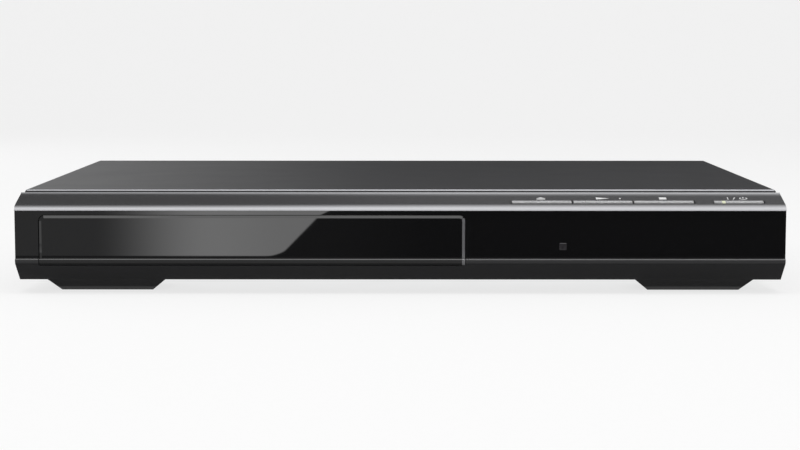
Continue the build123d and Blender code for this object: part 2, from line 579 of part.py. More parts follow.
def make_front_board():
    front = FRONT_BOARD_Y
    board = block(FRONT_BOARD_X, FRONT_BOARD_X + FRONT_BOARD_WIDTH, front, front + BOARD_THICK,
                  FACE_LOW_Z + FRONT_BOARD_RISE, DOOR_TOP_Z)
    board -= [rod_y(x, FRONT_BOSS_Z, front - OVERRUN, front + BOARD_THICK + OVERRUN, SCREW_HOLE) for x in FRONT_BOSS_X]
    keep("front_board", board)
    switches = []
    for _, key_x0, key_x1 in KEYS:
        middle = (key_x0 + key_x1) / 2
        body_top = PLUNGER_TOP_Z - PLUNGER_HEIGHT
        body = block(middle - SWITCH_SIDE / 2, middle + SWITCH_SIDE / 2, front - SWITCH_DEPTH, front,
                     body_top - SWITCH_SIDE, body_top)
        plunger = rod_z(middle, front - SWITCH_DEPTH / 2, body_top, PLUNGER_TOP_Z, PLUNGER_RADIUS)
        switches.append((body + plunger).solid())
    keep("key_switches", Compound(switches))
    body = block(REMOTE_X - RECEIVER_WIDTH / 2, REMOTE_X + RECEIVER_WIDTH / 2, front - RECEIVER_DEPTH, front,
                 REMOTE_Z - RECEIVER_HEIGHT / 2, REMOTE_Z + RECEIVER_HEIGHT / 2)
    dome = Pos(REMOTE_X, front - RECEIVER_DEPTH, REMOTE_Z) * Sphere(RECEIVER_WIDTH / 3)
    keep("remote_receiver", body + (dome & block(REMOTE_X - RECEIVER_WIDTH, REMOTE_X + RECEIVER_WIDTH, FRONT_Y, front,
                                                 REMOTE_Z - RECEIVER_HEIGHT, REMOTE_Z + RECEIVER_HEIGHT)))


# Loader: tooth form shared by the rack and the gears
MODULE = 1.0
ADDENDUM_SHARE = 0.8
DEDENDUM_SHARE = 1.15
ADDENDUM = ADDENDUM_SHARE * MODULE
DEDENDUM = DEDENDUM_SHARE * MODULE
BACKLASH = 0.25
PRESSURE_DEG = 20.0
TRAY_GEAR_TEETH = 22
PINION_TEETH = 14
FLANK_STEPS = 4
PITCH = math.pi * MODULE


def involute(angle):
    return math.tan(angle) - angle


def gear_face(teeth, turn_deg):
    """Plan of a spur gear with involute flanks, with a tooth centred on an angle."""
    pitch_r = teeth * MODULE / 2
    base_r = pitch_r * math.cos(math.radians(PRESSURE_DEG))
    root_r, tip_r = pitch_r - DEDENDUM, pitch_r + ADDENDUM
    half = (PITCH / 2 - BACKLASH) / (2 * pitch_r) + involute(math.radians(PRESSURE_DEG))
    start_r = max(base_r, root_r)
    flank = [(root_r, half - involute(math.acos(base_r / start_r)))]
    for n in range(FLANK_STEPS + 1):
        r = start_r + (tip_r - start_r) * n / FLANK_STEPS
        flank.append((r, half - involute(math.acos(base_r / r))))
    points = []
    for tooth in range(teeth):
        centre = math.radians(turn_deg) + 2 * math.pi * tooth / teeth
        for r, a in [(r, -a) for r, a in flank] + [(r, a) for r, a in reversed(flank)]:
            points.append((r * math.cos(centre + a), r * math.sin(centre + a)))
    return make_face(Polyline(*points, close=True))


# Loader: the tray gear, pulley gear, motor pulley and belt at the front of the frame
RACK_INSET = 5.5
GEAR_BEHIND = 20.0
GEAR_FACE = 3.5
GEAR_BELOW = 0.5
GEAR_POST = 2.2
MESH_TOOTH = 10
PULLEY_BELOW = 1.0
PULLEY_FACE = 3.5
GROOVE_FACE = 1.8
PULLEY_RADIUS = 12.6
GROOVE_RADIUS = 10.8
MOTOR_PULLEY_RADIUS = 4.0
MOTOR_GROOVE_RADIUS = 2.4
BELT_SIDE = 1.2
MOTOR_RADIUS = 10.0
MOTOR_HEIGHT = 4.7
MOTOR_SPAN = 30.0
MOTOR_BACK = 5.0
MOTOR_SHAFT = 1.0
GEAR_Z = (TRAY_Z - GEAR_BELOW - GEAR_FACE, TRAY_Z - GEAR_BELOW)
PULLEY_Z = (GEAR_Z[0] - PULLEY_BELOW - PULLEY_FACE, GEAR_Z[0] - PULLEY_BELOW)
GROOVE_Z = ((sum(PULLEY_Z) - GROOVE_FACE) / 2, (sum(PULLEY_Z) + GROOVE_FACE) / 2)
MOTOR_TOP_Z = PULLEY_Z[0] - SEAM_GAP
MOTOR_LOW_Z = MOTOR_TOP_Z - MOTOR_HEIGHT
RACK_X = LOADER_X + TRAY_WIDTH / 2 - RACK_INSET
GEAR_RADIUS = TRAY_GEAR_TEETH * MODULE / 2
PINION_RADIUS = PINION_TEETH * MODULE / 2
GEAR_X = RACK_X - GEAR_RADIUS
GEAR_Y = FRONT_Y + GEAR_BEHIND
MESH_DEG = 360.0 / TRAY_GEAR_TEETH * MESH_TOOTH
PULLEY_X = GEAR_X + (GEAR_RADIUS + PINION_RADIUS) * math.cos(math.radians(MESH_DEG))
PULLEY_Y = GEAR_Y + (GEAR_RADIUS + PINION_RADIUS) * math.sin(math.radians(MESH_DEG))
MOTOR_X = PULLEY_X - MOTOR_SPAN
MOTOR_Y = PULLEY_Y + MOTOR_BACK
BASE_THICK = 2.2
BASE_TOP_Z = LOADER_Z + BASE_THICK


def grooved_pulley(x, y, radius, groove, z_range):
    """A flanged wheel whose groove runs between the two groove heights."""
    wheel = rod_z(x, y, *z_range, radius)
    ring = rod_z(x, y, *GROOVE_Z, radius + OVERRUN) - rod_z(x, y, *GROOVE_Z, groove)
    return wheel - ring


def make_gears():
    bore = [rod_z(GEAR_X, GEAR_Y, 0, HEIGHT, GEAR_POST + SHAFT_GAP)]
    gear = Pos(GEAR_X, GEAR_Y, 0) * prism_z(gear_face(TRAY_GEAR_TEETH, 0), *GEAR_Z)
    keep("tray_gear", gear - bore)
    pinion_turn = MESH_DEG + 180.0 + 180.0 / PINION_TEETH
    pinion = Pos(PULLEY_X, PULLEY_Y, 0) * prism_z(gear_face(PINION_TEETH, pinion_turn), PULLEY_Z[1], GEAR_Z[1])
    wheel = grooved_pulley(PULLEY_X, PULLEY_Y, PULLEY_RADIUS, GROOVE_RADIUS, PULLEY_Z)
    bore = rod_z(PULLEY_X, PULLEY_Y, 0, HEIGHT, GEAR_POST + SHAFT_GAP)
    keep("pulley_gear", pinion + wheel - bore)
    small = grooved_pulley(MOTOR_X, MOTOR_Y, MOTOR_PULLEY_RADIUS, MOTOR_GROOVE_RADIUS, PULLEY_Z)
    keep("motor_pulley", small + rod_z(MOTOR_X, MOTOR_Y, MOTOR_TOP_Z + SHAFT_GAP, PULLEY_Z[1] + MOTOR_SHAFT, MOTOR_SHAFT))


def belt_loop(grow):
    """Plan of the belt's path round both pulleys, grown outwards."""
    wheels = [Pos(PULLEY_X, PULLEY_Y) * Circle(GROOVE_RADIUS + SLIDE_GAP + grow),
              Pos(MOTOR_X, MOTOR_Y) * Circle(MOTOR_GROOVE_RADIUS + SLIDE_GAP + grow)]
    return make_hull(wheels[0].edges() + wheels[1].edges())


def make_belt():
    low = sum(GROOVE_Z) / 2 - BELT_SIDE / 2
    loop = prism_z(belt_loop(BELT_SIDE).face(), low, low + BELT_SIDE)
    keep("drive_belt", loop - prism_z(belt_loop(0).face(), low - OVERRUN, low + BELT_SIDE + OVERRUN))


def make_loading_motor():
    can = rod_z(MOTOR_X, MOTOR_Y, MOTOR_LOW_Z, MOTOR_TOP_Z, MOTOR_RADIUS)
    can = fillet(can.edges().group_by(Axis.Z)[0], SHEET)
    ear = MOTOR_RADIUS + PILLAR_RADIUS
    ears = Pos(MOTOR_X, MOTOR_Y, BASE_TOP_Z) * extrude(SlotOverall(2 * ear, 2 * PILLAR_RADIUS), amount=SHEET)
    keep("loading_motor", can + ears)


# Loader: the frame that carries the tray, the gears, the deck and the clamp bridge
TRAY_FLANGE = 2.0
FLANGE_THICK = 2.0
RAIL_LEDGE = 3.0
LEDGE_LAP = 1.0
RAIL_RISE = 7.2
TAB_DEPTH = 12.0
TAB_THICK = 2.0
TAB_BEHIND_SHARES = (0.12, 0.45, 0.8)
DECK_HALF = 34.0
DECK_FRONT = 24.0
DECK_REAR = 4.0
DECK_THICK = 2.0
PIN_RADIUS = 2.0
CHEEK_WIDTH = 5.0
CHEEK_HALF = 5.0
WINDOW_GAP = 1.5
CAM_THICK = 2.5
CAM_GAP = 1.4
GUIDE_WALL = 2.0
GUIDE_HEIGHT = 7.8
RAIL_TOP_Z = TRAY_Z + RAIL_RISE
BRIDGE_EAR = 4.0
RIBBON_BEHIND = 40.9
RIBBON_Y = DISC_Y + RIBBON_BEHIND
RIBBON_WIDTH = 14.0
RIBBON_SLOT = 1.2
BRIDGE_SCREW_X = (TRAY_WIDTH / 2 + TRAY_FLANGE + SLIDE_GAP + LOADER_HALF + BRIDGE_EAR) / 2
CAM_REAR_Y = DISC_Y - DECK_FRONT - CAM_GAP
CAM_FRONT_Y = CAM_REAR_Y - CAM_THICK
WINDOW_FRONT_Y = CAM_FRONT_Y - SLIDE_GAP
WINDOW_REAR_Y = HINGE_Y + DECK_REAR + WINDOW_GAP
WINDOW_HALF = DECK_HALF + WINDOW_GAP


def at_loader(left, right, y0, y1, z0, z1):
    """Box whose X is measured from the loader's middle."""
    return block(LOADER_X + left, LOADER_X + right, y0, y1, z0, z1)


def both_sides(near, far, y0, y1, z0, z1):
    """The same box on the left and right of the loader's middle."""
    return [at_loader(near, far, y0, y1, z0, z1), at_loader(-far, -near, y0, y1, z0, z1)]


def make_loader_frame():
    base = at_loader(-LOADER_HALF, LOADER_HALF, LOADER_FRONT_Y, LOADER_REAR_Y, LOADER_Z, BASE_TOP_Z)
    window = at_loader(-WINDOW_HALF, WINDOW_HALF, WINDOW_FRONT_Y, WINDOW_REAR_Y, 0, HEIGHT)
    rail_in = TRAY_WIDTH / 2 + TRAY_FLANGE + SLIDE_GAP
    ledge_in = TRAY_WIDTH / 2 - LEDGE_LAP
    rails = both_sides(rail_in, LOADER_HALF, LOADER_FRONT_Y, LOADER_REAR_Y, LOADER_Z, RAIL_TOP_Z)
    rails += both_sides(ledge_in, LOADER_HALF, LOADER_FRONT_Y, LOADER_REAR_Y, TRAY_Z - RAIL_LEDGE, TRAY_Z - SLIDE_GAP)
    tab_z = TRAY_Z + FLANGE_THICK + SLIDE_GAP
    for share in TAB_BEHIND_SHARES:
        y = LOADER_FRONT_Y + share * (LOADER_REAR_Y - LOADER_FRONT_Y)
        rails += both_sides(TRAY_WIDTH / 2 + SLIDE_GAP, LOADER_HALF, y, y + TAB_DEPTH, tab_z, tab_z + TAB_THICK)
    posts = [rod_z(GEAR_X, GEAR_Y, LOADER_Z, GEAR_Z[1], GEAR_POST), rod_z(PULLEY_X, PULLEY_Y, LOADER_Z, GEAR_Z[1], GEAR_POST)]
    posts += [rod_z(GEAR_X, GEAR_Y, LOADER_Z, GEAR_Z[0] - SLIDE_GAP, GEAR_POST + WINDOW_GAP),
              rod_z(PULLEY_X, PULLEY_Y, LOADER_Z, PULLEY_Z[0] - SLIDE_GAP, GEAR_POST + WINDOW_GAP)]
    cheeks = both_sides(WINDOW_HALF, WINDOW_HALF + CHEEK_WIDTH, HINGE_Y - CHEEK_HALF, HINGE_Y + CHEEK_HALF,
                        LOADER_Z, TRAY_Z - SLIDE_GAP)
    guide = at_loader(-WINDOW_HALF, WINDOW_HALF, WINDOW_FRONT_Y - GUIDE_WALL, WINDOW_FRONT_Y, LOADER_Z, LOADER_Z + GUIDE_HEIGHT)
    bearing = WINDOW_HALF + CHEEK_WIDTH + OVERRUN
    holes = [rod_x(HINGE_Y, HINGE_Z, LOADER_X - bearing, LOADER_X + bearing, PIN_RADIUS + SHAFT_GAP),
             rod_z(MOTOR_X, MOTOR_Y, 0, BASE_TOP_Z, MOTOR_RADIUS + SHAFT_GAP)]
    holes += [rod_z(x, y, 0, BASE_TOP_Z + OVERRUN, SCREW_HOLE) for x, y in loader_seat_places()]
    bosses = both_sides(rail_in, LOADER_HALF + BRIDGE_EAR, DISC_Y - BRIDGE_EAR, DISC_Y + BRIDGE_EAR, LOADER_Z, RAIL_TOP_Z)
    holes += [rod_z(LOADER_X + side * BRIDGE_SCREW_X, DISC_Y, RAIL_TOP_Z - SCREW_LENGTH, HEIGHT, SCREW_HOLE)
              for side in (-1, 1)]
    holes.append(at_loader(WINDOW_HALF, LOADER_HALF + OVERRUN, RIBBON_Y - RIBBON_WIDTH / 2 - SEAM_GAP,
                           RIBBON_Y + RIBBON_WIDTH / 2 + SEAM_GAP, BASE_TOP_Z, BASE_TOP_Z + RIBBON_SLOT))
    return keep("loader_frame", base - window + rails + bosses + posts + cheeks + [guide] - holes)


# Loader: the disc tray, with recesses for both disc sizes, a pickup slot, side flanges and a rack
SMALL_RECESS_RADIUS = 40.6
SMALL_RECESS_DEPTH = 0.7
SLOT_HALF = 19.0
SLOT_LENGTH = 58.0
TRAY_CORNER = 6.0
NOTCH_RADIUS = 14.0
RACK_THICK = 2.6
RACK_DROP = 3.6


def rack_face():
    """Plan of the rack: trapezoid teeth that face the gear, with a gap opposite the gear's tooth."""
    lean = math.tan(math.radians(PRESSURE_DEG))
    half = (PITCH / 2 - BACKLASH) / 2
    back_x = RACK_X + DEDENDUM + RACK_THICK
    first = math.ceil((TRAY_FRONT_Y + MODULE - GEAR_Y) / PITCH)
    last = math.floor((TRAY_FRONT_Y + TRAY_LENGTH - MODULE - GEAR_Y) / PITCH) - 1
    points = [(back_x, GEAR_Y + first * PITCH)]
    for n in range(first, last + 1):
        y = GEAR_Y + (n + 1 / 2) * PITCH
        low, high = half + DEDENDUM * lean, half - ADDENDUM * lean
        points += [(RACK_X + DEDENDUM, y - low), (RACK_X - ADDENDUM, y - high),
                   (RACK_X - ADDENDUM, y + high), (RACK_X + DEDENDUM, y + low)]
    points.append((back_x, GEAR_Y + (last + 1) * PITCH))
    return make_face(Polyline(*points, close=True))


def make_tray():
    rear_y = TRAY_FRONT_Y + TRAY_LENGTH
    body = at_loader(-TRAY_WIDTH / 2, TRAY_WIDTH / 2, TRAY_FRONT_Y, rear_y, TRAY_Z, TRAY_Z + TRAY_RIM)
    body = fillet(body.edges().filter_by(Axis.Z).group_by(Axis.Y)[-1], TRAY_CORNER)
    flange_half = TRAY_WIDTH / 2 + TRAY_FLANGE
    flange = at_loader(-flange_half, flange_half, LOADER_FRONT_Y, rear_y - TRAY_CORNER, TRAY_Z, TRAY_Z + FLANGE_THICK)
    top_z = TRAY_Z + TRAY_RIM + OVERRUN
    floor_z = TRAY_Z + TRAY_FLOOR
    cuts = [rod_z(LOADER_X, DISC_Y, floor_z, top_z, RECESS_RADIUS),
            rod_z(LOADER_X, DISC_Y, floor_z - SMALL_RECESS_DEPTH, top_z, SMALL_RECESS_RADIUS),
            rod_z(LOADER_X, DISC_Y, 0, top_z, SLOT_HALF),
            at_loader(-SLOT_HALF, SLOT_HALF, DISC_Y, DISC_Y + SLOT_LENGTH, 0, top_z)]
    cuts += [rod_z(LOADER_X + side * RECESS_RADIUS, DISC_Y, floor_z, top_z, NOTCH_RADIUS / 2) for side in (-1, 1)]
    rack = prism_z(rack_face(), TRAY_Z - RACK_DROP, TRAY_Z)
    return keep("disc_tray", body + flange - cuts + rack)


# Loader: the clamp bridge over the tray, with the puck that holds the disc down
BRIDGE_HALF = 21.0
BRIDGE_THICK = 2.0
PUCK_RADIUS = 17.0
PUCK_LIP = 3.5
PUCK_LIP_THICK = 1.6
PUCK_GAP = 0.6
CONE_POCKET_RADIUS = 8.0
CONE_POCKET_DEPTH = 2.6
MAGNET_RADIUS = 9.0
MAGNET_BORE = 4.0
MAGNET_THICK = 2.0
YOKE_RADIUS = 12.0
BRIDGE_TOP_Z = RAIL_TOP_Z + BRIDGE_THICK
PUCK_LOW_Z = TRAY_Z + TRAY_RIM + SLIDE_GAP
PUCK_TOP_Z = BRIDGE_TOP_Z + SLIDE_GAP + PUCK_LIP_THICK


def make_clamp():
    bridge = at_loader(-LOADER_HALF, LOADER_HALF, DISC_Y - BRIDGE_HALF, DISC_Y + BRIDGE_HALF, RAIL_TOP_Z, BRIDGE_TOP_Z)
    far = LOADER_HALF + BRIDGE_EAR
    bridge += at_loader(-far, far, DISC_Y - BRIDGE_EAR, DISC_Y + BRIDGE_EAR, RAIL_TOP_Z, BRIDGE_TOP_Z)
    ribs = [at_loader(-LOADER_HALF, LOADER_HALF, y, y + BRIDGE_THICK, BRIDGE_TOP_Z, BRIDGE_TOP_Z + BRIDGE_THICK)
            for y in (DISC_Y - BRIDGE_HALF, DISC_Y + BRIDGE_HALF - BRIDGE_THICK)]
    collar = rod_z(LOADER_X, DISC_Y, 0, HEIGHT, PUCK_RADIUS + PUCK_GAP)
    rib_gap = rod_z(LOADER_X, DISC_Y, BRIDGE_TOP_Z, HEIGHT, PUCK_RADIUS + PUCK_LIP + PUCK_GAP)
    screws = [rod_z(LOADER_X + side * BRIDGE_SCREW_X, DISC_Y, 0, HEIGHT, SCREW_HOLE) for side in (-1, 1)]
    keep("clamp_bridge", bridge + ribs - [collar, rib_gap] - screws)
    puck = rod_z(LOADER_X, DISC_Y, PUCK_LOW_Z, PUCK_TOP_Z, PUCK_RADIUS)
    puck += rod_z(LOADER_X, DISC_Y, PUCK_TOP_Z - PUCK_LIP_THICK, PUCK_TOP_Z, PUCK_RADIUS + PUCK_LIP)
    magnet = rod_z(LOADER_X, DISC_Y, PUCK_TOP_Z - MAGNET_THICK, PUCK_TOP_Z, MAGNET_RADIUS)
    pocket = rod_z(LOADER_X, DISC_Y, PUCK_TOP_Z - MAGNET_THICK, PUCK_TOP_Z, MAGNET_RADIUS + SHAFT_GAP)
    puck -= [rod_z(LOADER_X, DISC_Y, 0, PUCK_LOW_Z + CONE_POCKET_DEPTH, CONE_POCKET_RADIUS), pocket]
    keep("clamp_puck", puck)
    keep("clamp_magnet", magnet - rod_z(LOADER_X, DISC_Y, 0, HEIGHT, MAGNET_BORE))
    keep("clamp_yoke", rod_z(LOADER_X, DISC_Y, PUCK_TOP_Z, PUCK_TOP_Z + SHEET, YOKE_RADIUS))


# Deck: a swinging plate, drawn at its playing height, that a cam slider lifts by a front pin
CAM_TRAVEL = 18.0
CAM_PIN_RADIUS = 1.1
CAM_PIN_X = -10.0
CAM_SLOT_GAP = 0.25
CAM_MARGIN = 4.0
CAM_FLOOR_GAP = 0.6
CAM_TOP_GAP = 0.5
RIM_THICK = 1.5
RIM_HEIGHT = 3.4
SPINDLE_RADIUS = 11.0
SPINDLE_RISE = 1.5
SPINDLE_DROP = 2.0
SPINDLE_PLATE = 14.0
SLED_WINDOW_HALF = 25.0
SLED_WINDOW_FRONT = 16.0
SLED_WINDOW_TAIL = 11.0
SLED_WINDOW_REAR = DECK_ARM - SLED_WINDOW_TAIL
ROD_X = 21.0
ROD_RADIUS = 1.5
ROD_HOLD = 4.0
ROD_WALL = 2.5
FEED_X = 29.0
FEED_BELOW = 4.2
FEED_RADIUS = 1.5
FEED_WALL = 0.5
FEED_HOLD_SHARE = 0.311
FEED_HOLD_FRONT = FEED_HOLD_SHARE * DECK_ARM
FEED_MOTOR_RADIUS = 3.1
FEED_MOTOR_LENGTH = 14.0
FEED_MOTOR_SHARE = 0.133
FEED_MOTOR_FRONT = FEED_MOTOR_SHARE * DECK_ARM
DECK_LOW_Z = HINGE_Z - DECK_THICK / 2
DECK_TOP_Z = HINGE_Z + DECK_THICK / 2
ROD_Z = DECK_LOW_Z - ROD_RADIUS - SLIDE_GAP
FEED_Z = HINGE_Z - FEED_BELOW
DECK_FRONT_Y = DISC_Y - DECK_FRONT
CAM_ARM = HINGE_Y - (CAM_FRONT_Y + CAM_REAR_Y) / 2
CAM_LIFT = CAM_ARM * math.tan(math.radians(DECK_DROP))


def make_deck():
    plate = at_loader(-DECK_HALF, DECK_HALF, DECK_FRONT_Y, HINGE_Y + DECK_REAR, DECK_LOW_Z, DECK_TOP_Z)
    rims = both_sides(DECK_HALF - RIM_THICK, DECK_HALF, DECK_FRONT_Y, HINGE_Y - CHEEK_HALF, DECK_LOW_Z, DECK_LOW_Z + RIM_HEIGHT)
    pin_end = WINDOW_HALF + CHEEK_WIDTH - SEAM_GAP
    pins = [rod_x(HINGE_Y, HINGE_Z, LOADER_X + DECK_HALF - RIM_THICK, LOADER_X + pin_end, PIN_RADIUS),
            rod_x(HINGE_Y, HINGE_Z, LOADER_X - pin_end, LOADER_X - DECK_HALF + RIM_THICK, PIN_RADIUS),
            rod_y(LOADER_X + CAM_PIN_X, HINGE_Z, CAM_FRONT_Y, DECK_FRONT_Y + OVERRUN, CAM_PIN_RADIUS)]
    front_y, rear_y = DISC_Y + SLED_WINDOW_FRONT, DISC_Y + SLED_WINDOW_REAR
    holders = []
    for y in (front_y - ROD_HOLD, rear_y):
        holders += both_sides(ROD_X - ROD_WALL, ROD_X + ROD_WALL, y, y + ROD_HOLD, ROD_Z - ROD_WALL, HINGE_Z)
    feed_wall = FEED_RADIUS + FEED_WALL
    hold_y = DISC_Y + FEED_HOLD_FRONT
    holders.append(at_loader(FEED_X - feed_wall, FEED_X + feed_wall, hold_y, hold_y + ROD_HOLD, FEED_Z - feed_wall, HINGE_Z))
    holes = [at_loader(-SLED_WINDOW_HALF, SLED_WINDOW_HALF, front_y, rear_y, 0, HEIGHT),
             rod_z(LOADER_X, DISC_Y, 0, HEIGHT, SPINDLE_RADIUS + SLIDE_GAP),
             rod_y(LOADER_X + FEED_X, FEED_Z, hold_y - OVERRUN, hold_y + ROD_HOLD + OVERRUN, FEED_RADIUS + SHAFT_GAP)]
    holes += [rod_y(LOADER_X + side * ROD_X, ROD_Z, front_y - ROD_HOLD - OVERRUN, rear_y + ROD_HOLD + OVERRUN,
                    ROD_RADIUS + SHAFT_GAP) for side in (-1, 1)]
    keep("traverse_deck", lowered(plate + rims + pins + holders - holes))
    rods = [rod_y(LOADER_X + side * ROD_X, ROD_Z, front_y - ROD_HOLD, rear_y + ROD_HOLD, ROD_RADIUS) for side in (-1, 1)]
    keep("guide_rods", Compound([lowered(rod) for rod in rods]))


def make_cam():
    """The slider's slot rises to the left, so moving the slider right lifts the pin."""
    plate = at_loader(CAM_PIN_X - CAM_TRAVEL - CAM_MARGIN, CAM_PIN_X + CAM_MARGIN, CAM_FRONT_Y, CAM_REAR_Y,
                      FLOOR_Z + CAM_FLOOR_GAP, TRAY_Z - CAM_TOP_GAP)
    plan = SlotCenterToCenter(math.hypot(CAM_TRAVEL, CAM_LIFT), 2 * (CAM_PIN_RADIUS + CAM_SLOT_GAP))
    lean = math.degrees(math.atan2(CAM_LIFT, CAM_TRAVEL))
    slot = extrude(Rot(X=90) * Rot(Z=-lean) * plan, amount=CAM_THICK, both=True)
    middle = Pos(LOADER_X + CAM_PIN_X - CAM_TRAVEL / 2, (CAM_FRONT_Y + CAM_REAR_Y) / 2, HINGE_Z - CAM_LIFT / 2)
    return keep("cam_slider", plate - middle * slot)


# Deck: spindle motor and the turntable on it
SEAT_RISE = 2.2
PLATTER_RADIUS = 14.5
PLATTER_THICK = 2.0
HUB_RADIUS = 4.0
CONE_BASE = 7.4
CONE_TOP = 5.0
CONE_HEIGHT = 1.5
SPINDLE_TOP_Z = DECK_TOP_Z + SPINDLE_RISE
SEAT_Z = TRAY_Z + TRAY_FLOOR + SEAT_RISE


def make_spindle():
    can = rod_z(LOADER_X, DISC_Y, DECK_LOW_Z - SPINDLE_DROP + DECK_THICK / 2, SPINDLE_TOP_Z, SPINDLE_RADIUS)
    plate = at_loader(-SPINDLE_PLATE, SPINDLE_PLATE, DISC_Y - SPINDLE_PLATE, DISC_Y + SPINDLE_PLATE,
                      DECK_TOP_Z, DECK_TOP_Z + SHEET)
    plate = fillet(plate.edges().filter_by(Axis.Z), HUB_RADIUS)
    keep("spindle_motor", lowered(can + plate))
    hub = rod_z(LOADER_X, DISC_Y, SPINDLE_TOP_Z + SHAFT_GAP, SEAT_Z - PLATTER_THICK, HUB_RADIUS)
    platter = rod_z(LOADER_X, DISC_Y, SEAT_Z - PLATTER_THICK, SEAT_Z, PLATTER_RADIUS)
    cone = Pos(LOADER_X, DISC_Y, SEAT_Z + CONE_HEIGHT / 2) * Cone(CONE_BASE, CONE_TOP, CONE_HEIGHT)
    keep("turntable", lowered(hub + platter + cone))


# Deck: pickup sled on its rods, with a sprung lens, and the screw and motor that feed it
LENS_START = 24.0
SLED_TRAVEL = 34.0
SLED_AHEAD = 7.0
SLED_BEHIND = 19.0
SLED_HALF = 15.0
SLED_DROP = 4.0
SLED_TOP_GAP = 0.7
BEARING_HALF = 23.6
BEARING_WALL = 2.6
FINGER_FRONT = 11.0
FINGER_DEPTH = 7.0
FINGER_HALF = 1.6
HOLDER_RADIUS = 5.0
HOLDER_GAP = 0.6
HOLDER_LOW = 2.1
HOLDER_HEIGHT = 3.2
POCKET_DEPTH = 3.0
LENS_RADIUS = 2.6
LENS_SEAT = 0.8
LENS_BULGE = 0.8
LENS_Y = DISC_Y + LENS_START
SLED_TOP_Z = TRAY_Z - SLED_TOP_GAP
HOLDER_LOW_Z = SLED_TOP_Z - HOLDER_LOW
HOLDER_TOP_Z = HOLDER_LOW_Z + HOLDER_HEIGHT


def make_pickup():
    y0, y1 = LENS_Y - SLED_AHEAD, LENS_Y + SLED_BEHIND
    body = at_loader(-SLED_HALF, SLED_HALF, y0, y1, HINGE_Z - SLED_DROP, SLED_TOP_Z)
    bearings = both_sides(SLED_HALF, BEARING_HALF, y0, y1, ROD_Z - BEARING_WALL, ROD_Z + BEARING_WALL)
    finger = at_loader(BEARING_HALF, FEED_X + FEED_RADIUS + FINGER_HALF, LENS_Y + FINGER_FRONT,
                       LENS_Y + FINGER_FRONT + FINGER_DEPTH, FEED_Z - FINGER_HALF, FEED_Z + FINGER_HALF)
    holes = [rod_y(LOADER_X + side * ROD_X, ROD_Z, y0 - OVERRUN, y1 + OVERRUN, ROD_RADIUS + SHAFT_GAP) for side in (-1, 1)]
    holes += [rod_z(LOADER_X, LENS_Y, SLED_TOP_Z - POCKET_DEPTH, HEIGHT, HOLDER_RADIUS + HOLDER_GAP),
              rod_y(LOADER_X + FEED_X, FEED_Z, y0, y1, FEED_RADIUS + SHAFT_GAP)]
    keep("pickup_sled", lowered(body + bearings + [finger] - holes))
    holder = rod_z(LOADER_X, LENS_Y, HOLDER_LOW_Z, HOLDER_TOP_Z, HOLDER_RADIUS)
    holder -= rod_z(LOADER_X, LENS_Y, HOLDER_TOP_Z - LENS_SEAT, HEIGHT, LENS_RADIUS + SHAFT_GAP)
    keep("lens_holder", lowered(holder))
    ball = (LENS_RADIUS ** 2 + LENS_BULGE ** 2) / (2 * LENS_BULGE)
    dome = Pos(LOADER_X, LENS_Y, HOLDER_TOP_Z + LENS_BULGE - ball) * Sphere(ball)
    stub = rod_z(LOADER_X, LENS_Y, HOLDER_TOP_Z - LENS_SEAT, HOLDER_TOP_Z + LENS_BULGE, LENS_RADIUS)
    keep("objective_lens", lowered(dome & stub))
    motor_y = HINGE_Y - FEED_MOTOR_FRONT
    hold_y = DISC_Y + FEED_HOLD_FRONT
    keep("feed_screw", lowered(rod_y(LOADER_X + FEED_X, FEED_Z, hold_y, motor_y - SHAFT_GAP, FEED_RADIUS)))
    motor = rod_y(LOADER_X + FEED_X, FEED_Z, motor_y, motor_y + FEED_MOTOR_LENGTH, FEED_MOTOR_RADIUS)
    foot = at_loader(FEED_X - FEED_MOTOR_RADIUS, FEED_X + FEED_MOTOR_RADIUS, motor_y, motor_y + SHEET, FEED_Z, DECK_LOW_Z)
    keep("feed_motor", lowered(motor + foot))


# Boards: the main board with its chips
CHIP_HEIGHT = 2.2
BOARD_TOP_Z = BOARD_Z + BOARD_THICK

# Chips as shares of the main board: middle across, middle along, width and depth
CHIP_SHARES = ((0.5, 0.42, 0.36, 0.16), (0.5, 0.6, 0.3, 0.06), (0.3, 0.2, 0.2, 0.1), (0.75, 0.22, 0.15, 0.06),
               (0.3, 0.75, 0.16, 0.06), (0.7, 0.75, 0.16, 0.06))


def board_plate(board):
    x0, x1, y0, y1 = board
    plate = block(x0, x1, y0, y1, BOARD_Z, BOARD_TOP_Z)
    return plate - [rod_z(x, y, BOARD_Z - OVERRUN, BOARD_TOP_Z + OVERRUN, SCREW_HOLE) for x, y in board_pillar_places(board)]


def make_main_board():
    keep("main_board", board_plate(MAIN_BOARD))
    x0, x1, y0, y1 = MAIN_BOARD
    chips = []
    for across, along, width, depth in CHIP_SHARES:
        x, y = x0 + across * (x1 - x0), y0 + along * (y1 - y0)
        half_x, half_y = width * (x1 - x0) / 2, depth * (y1 - y0) / 2
        chip = block(x - half_x, x + half_x, y - half_y, y + half_y, BOARD_TOP_Z, BOARD_TOP_Z + CHIP_HEIGHT)
        chips.append(chamfer(chip.edges().group_by(Axis.Z)[-1], CHIP_HEIGHT / 5).solid())
    keep("board_chips", Compound(chips))


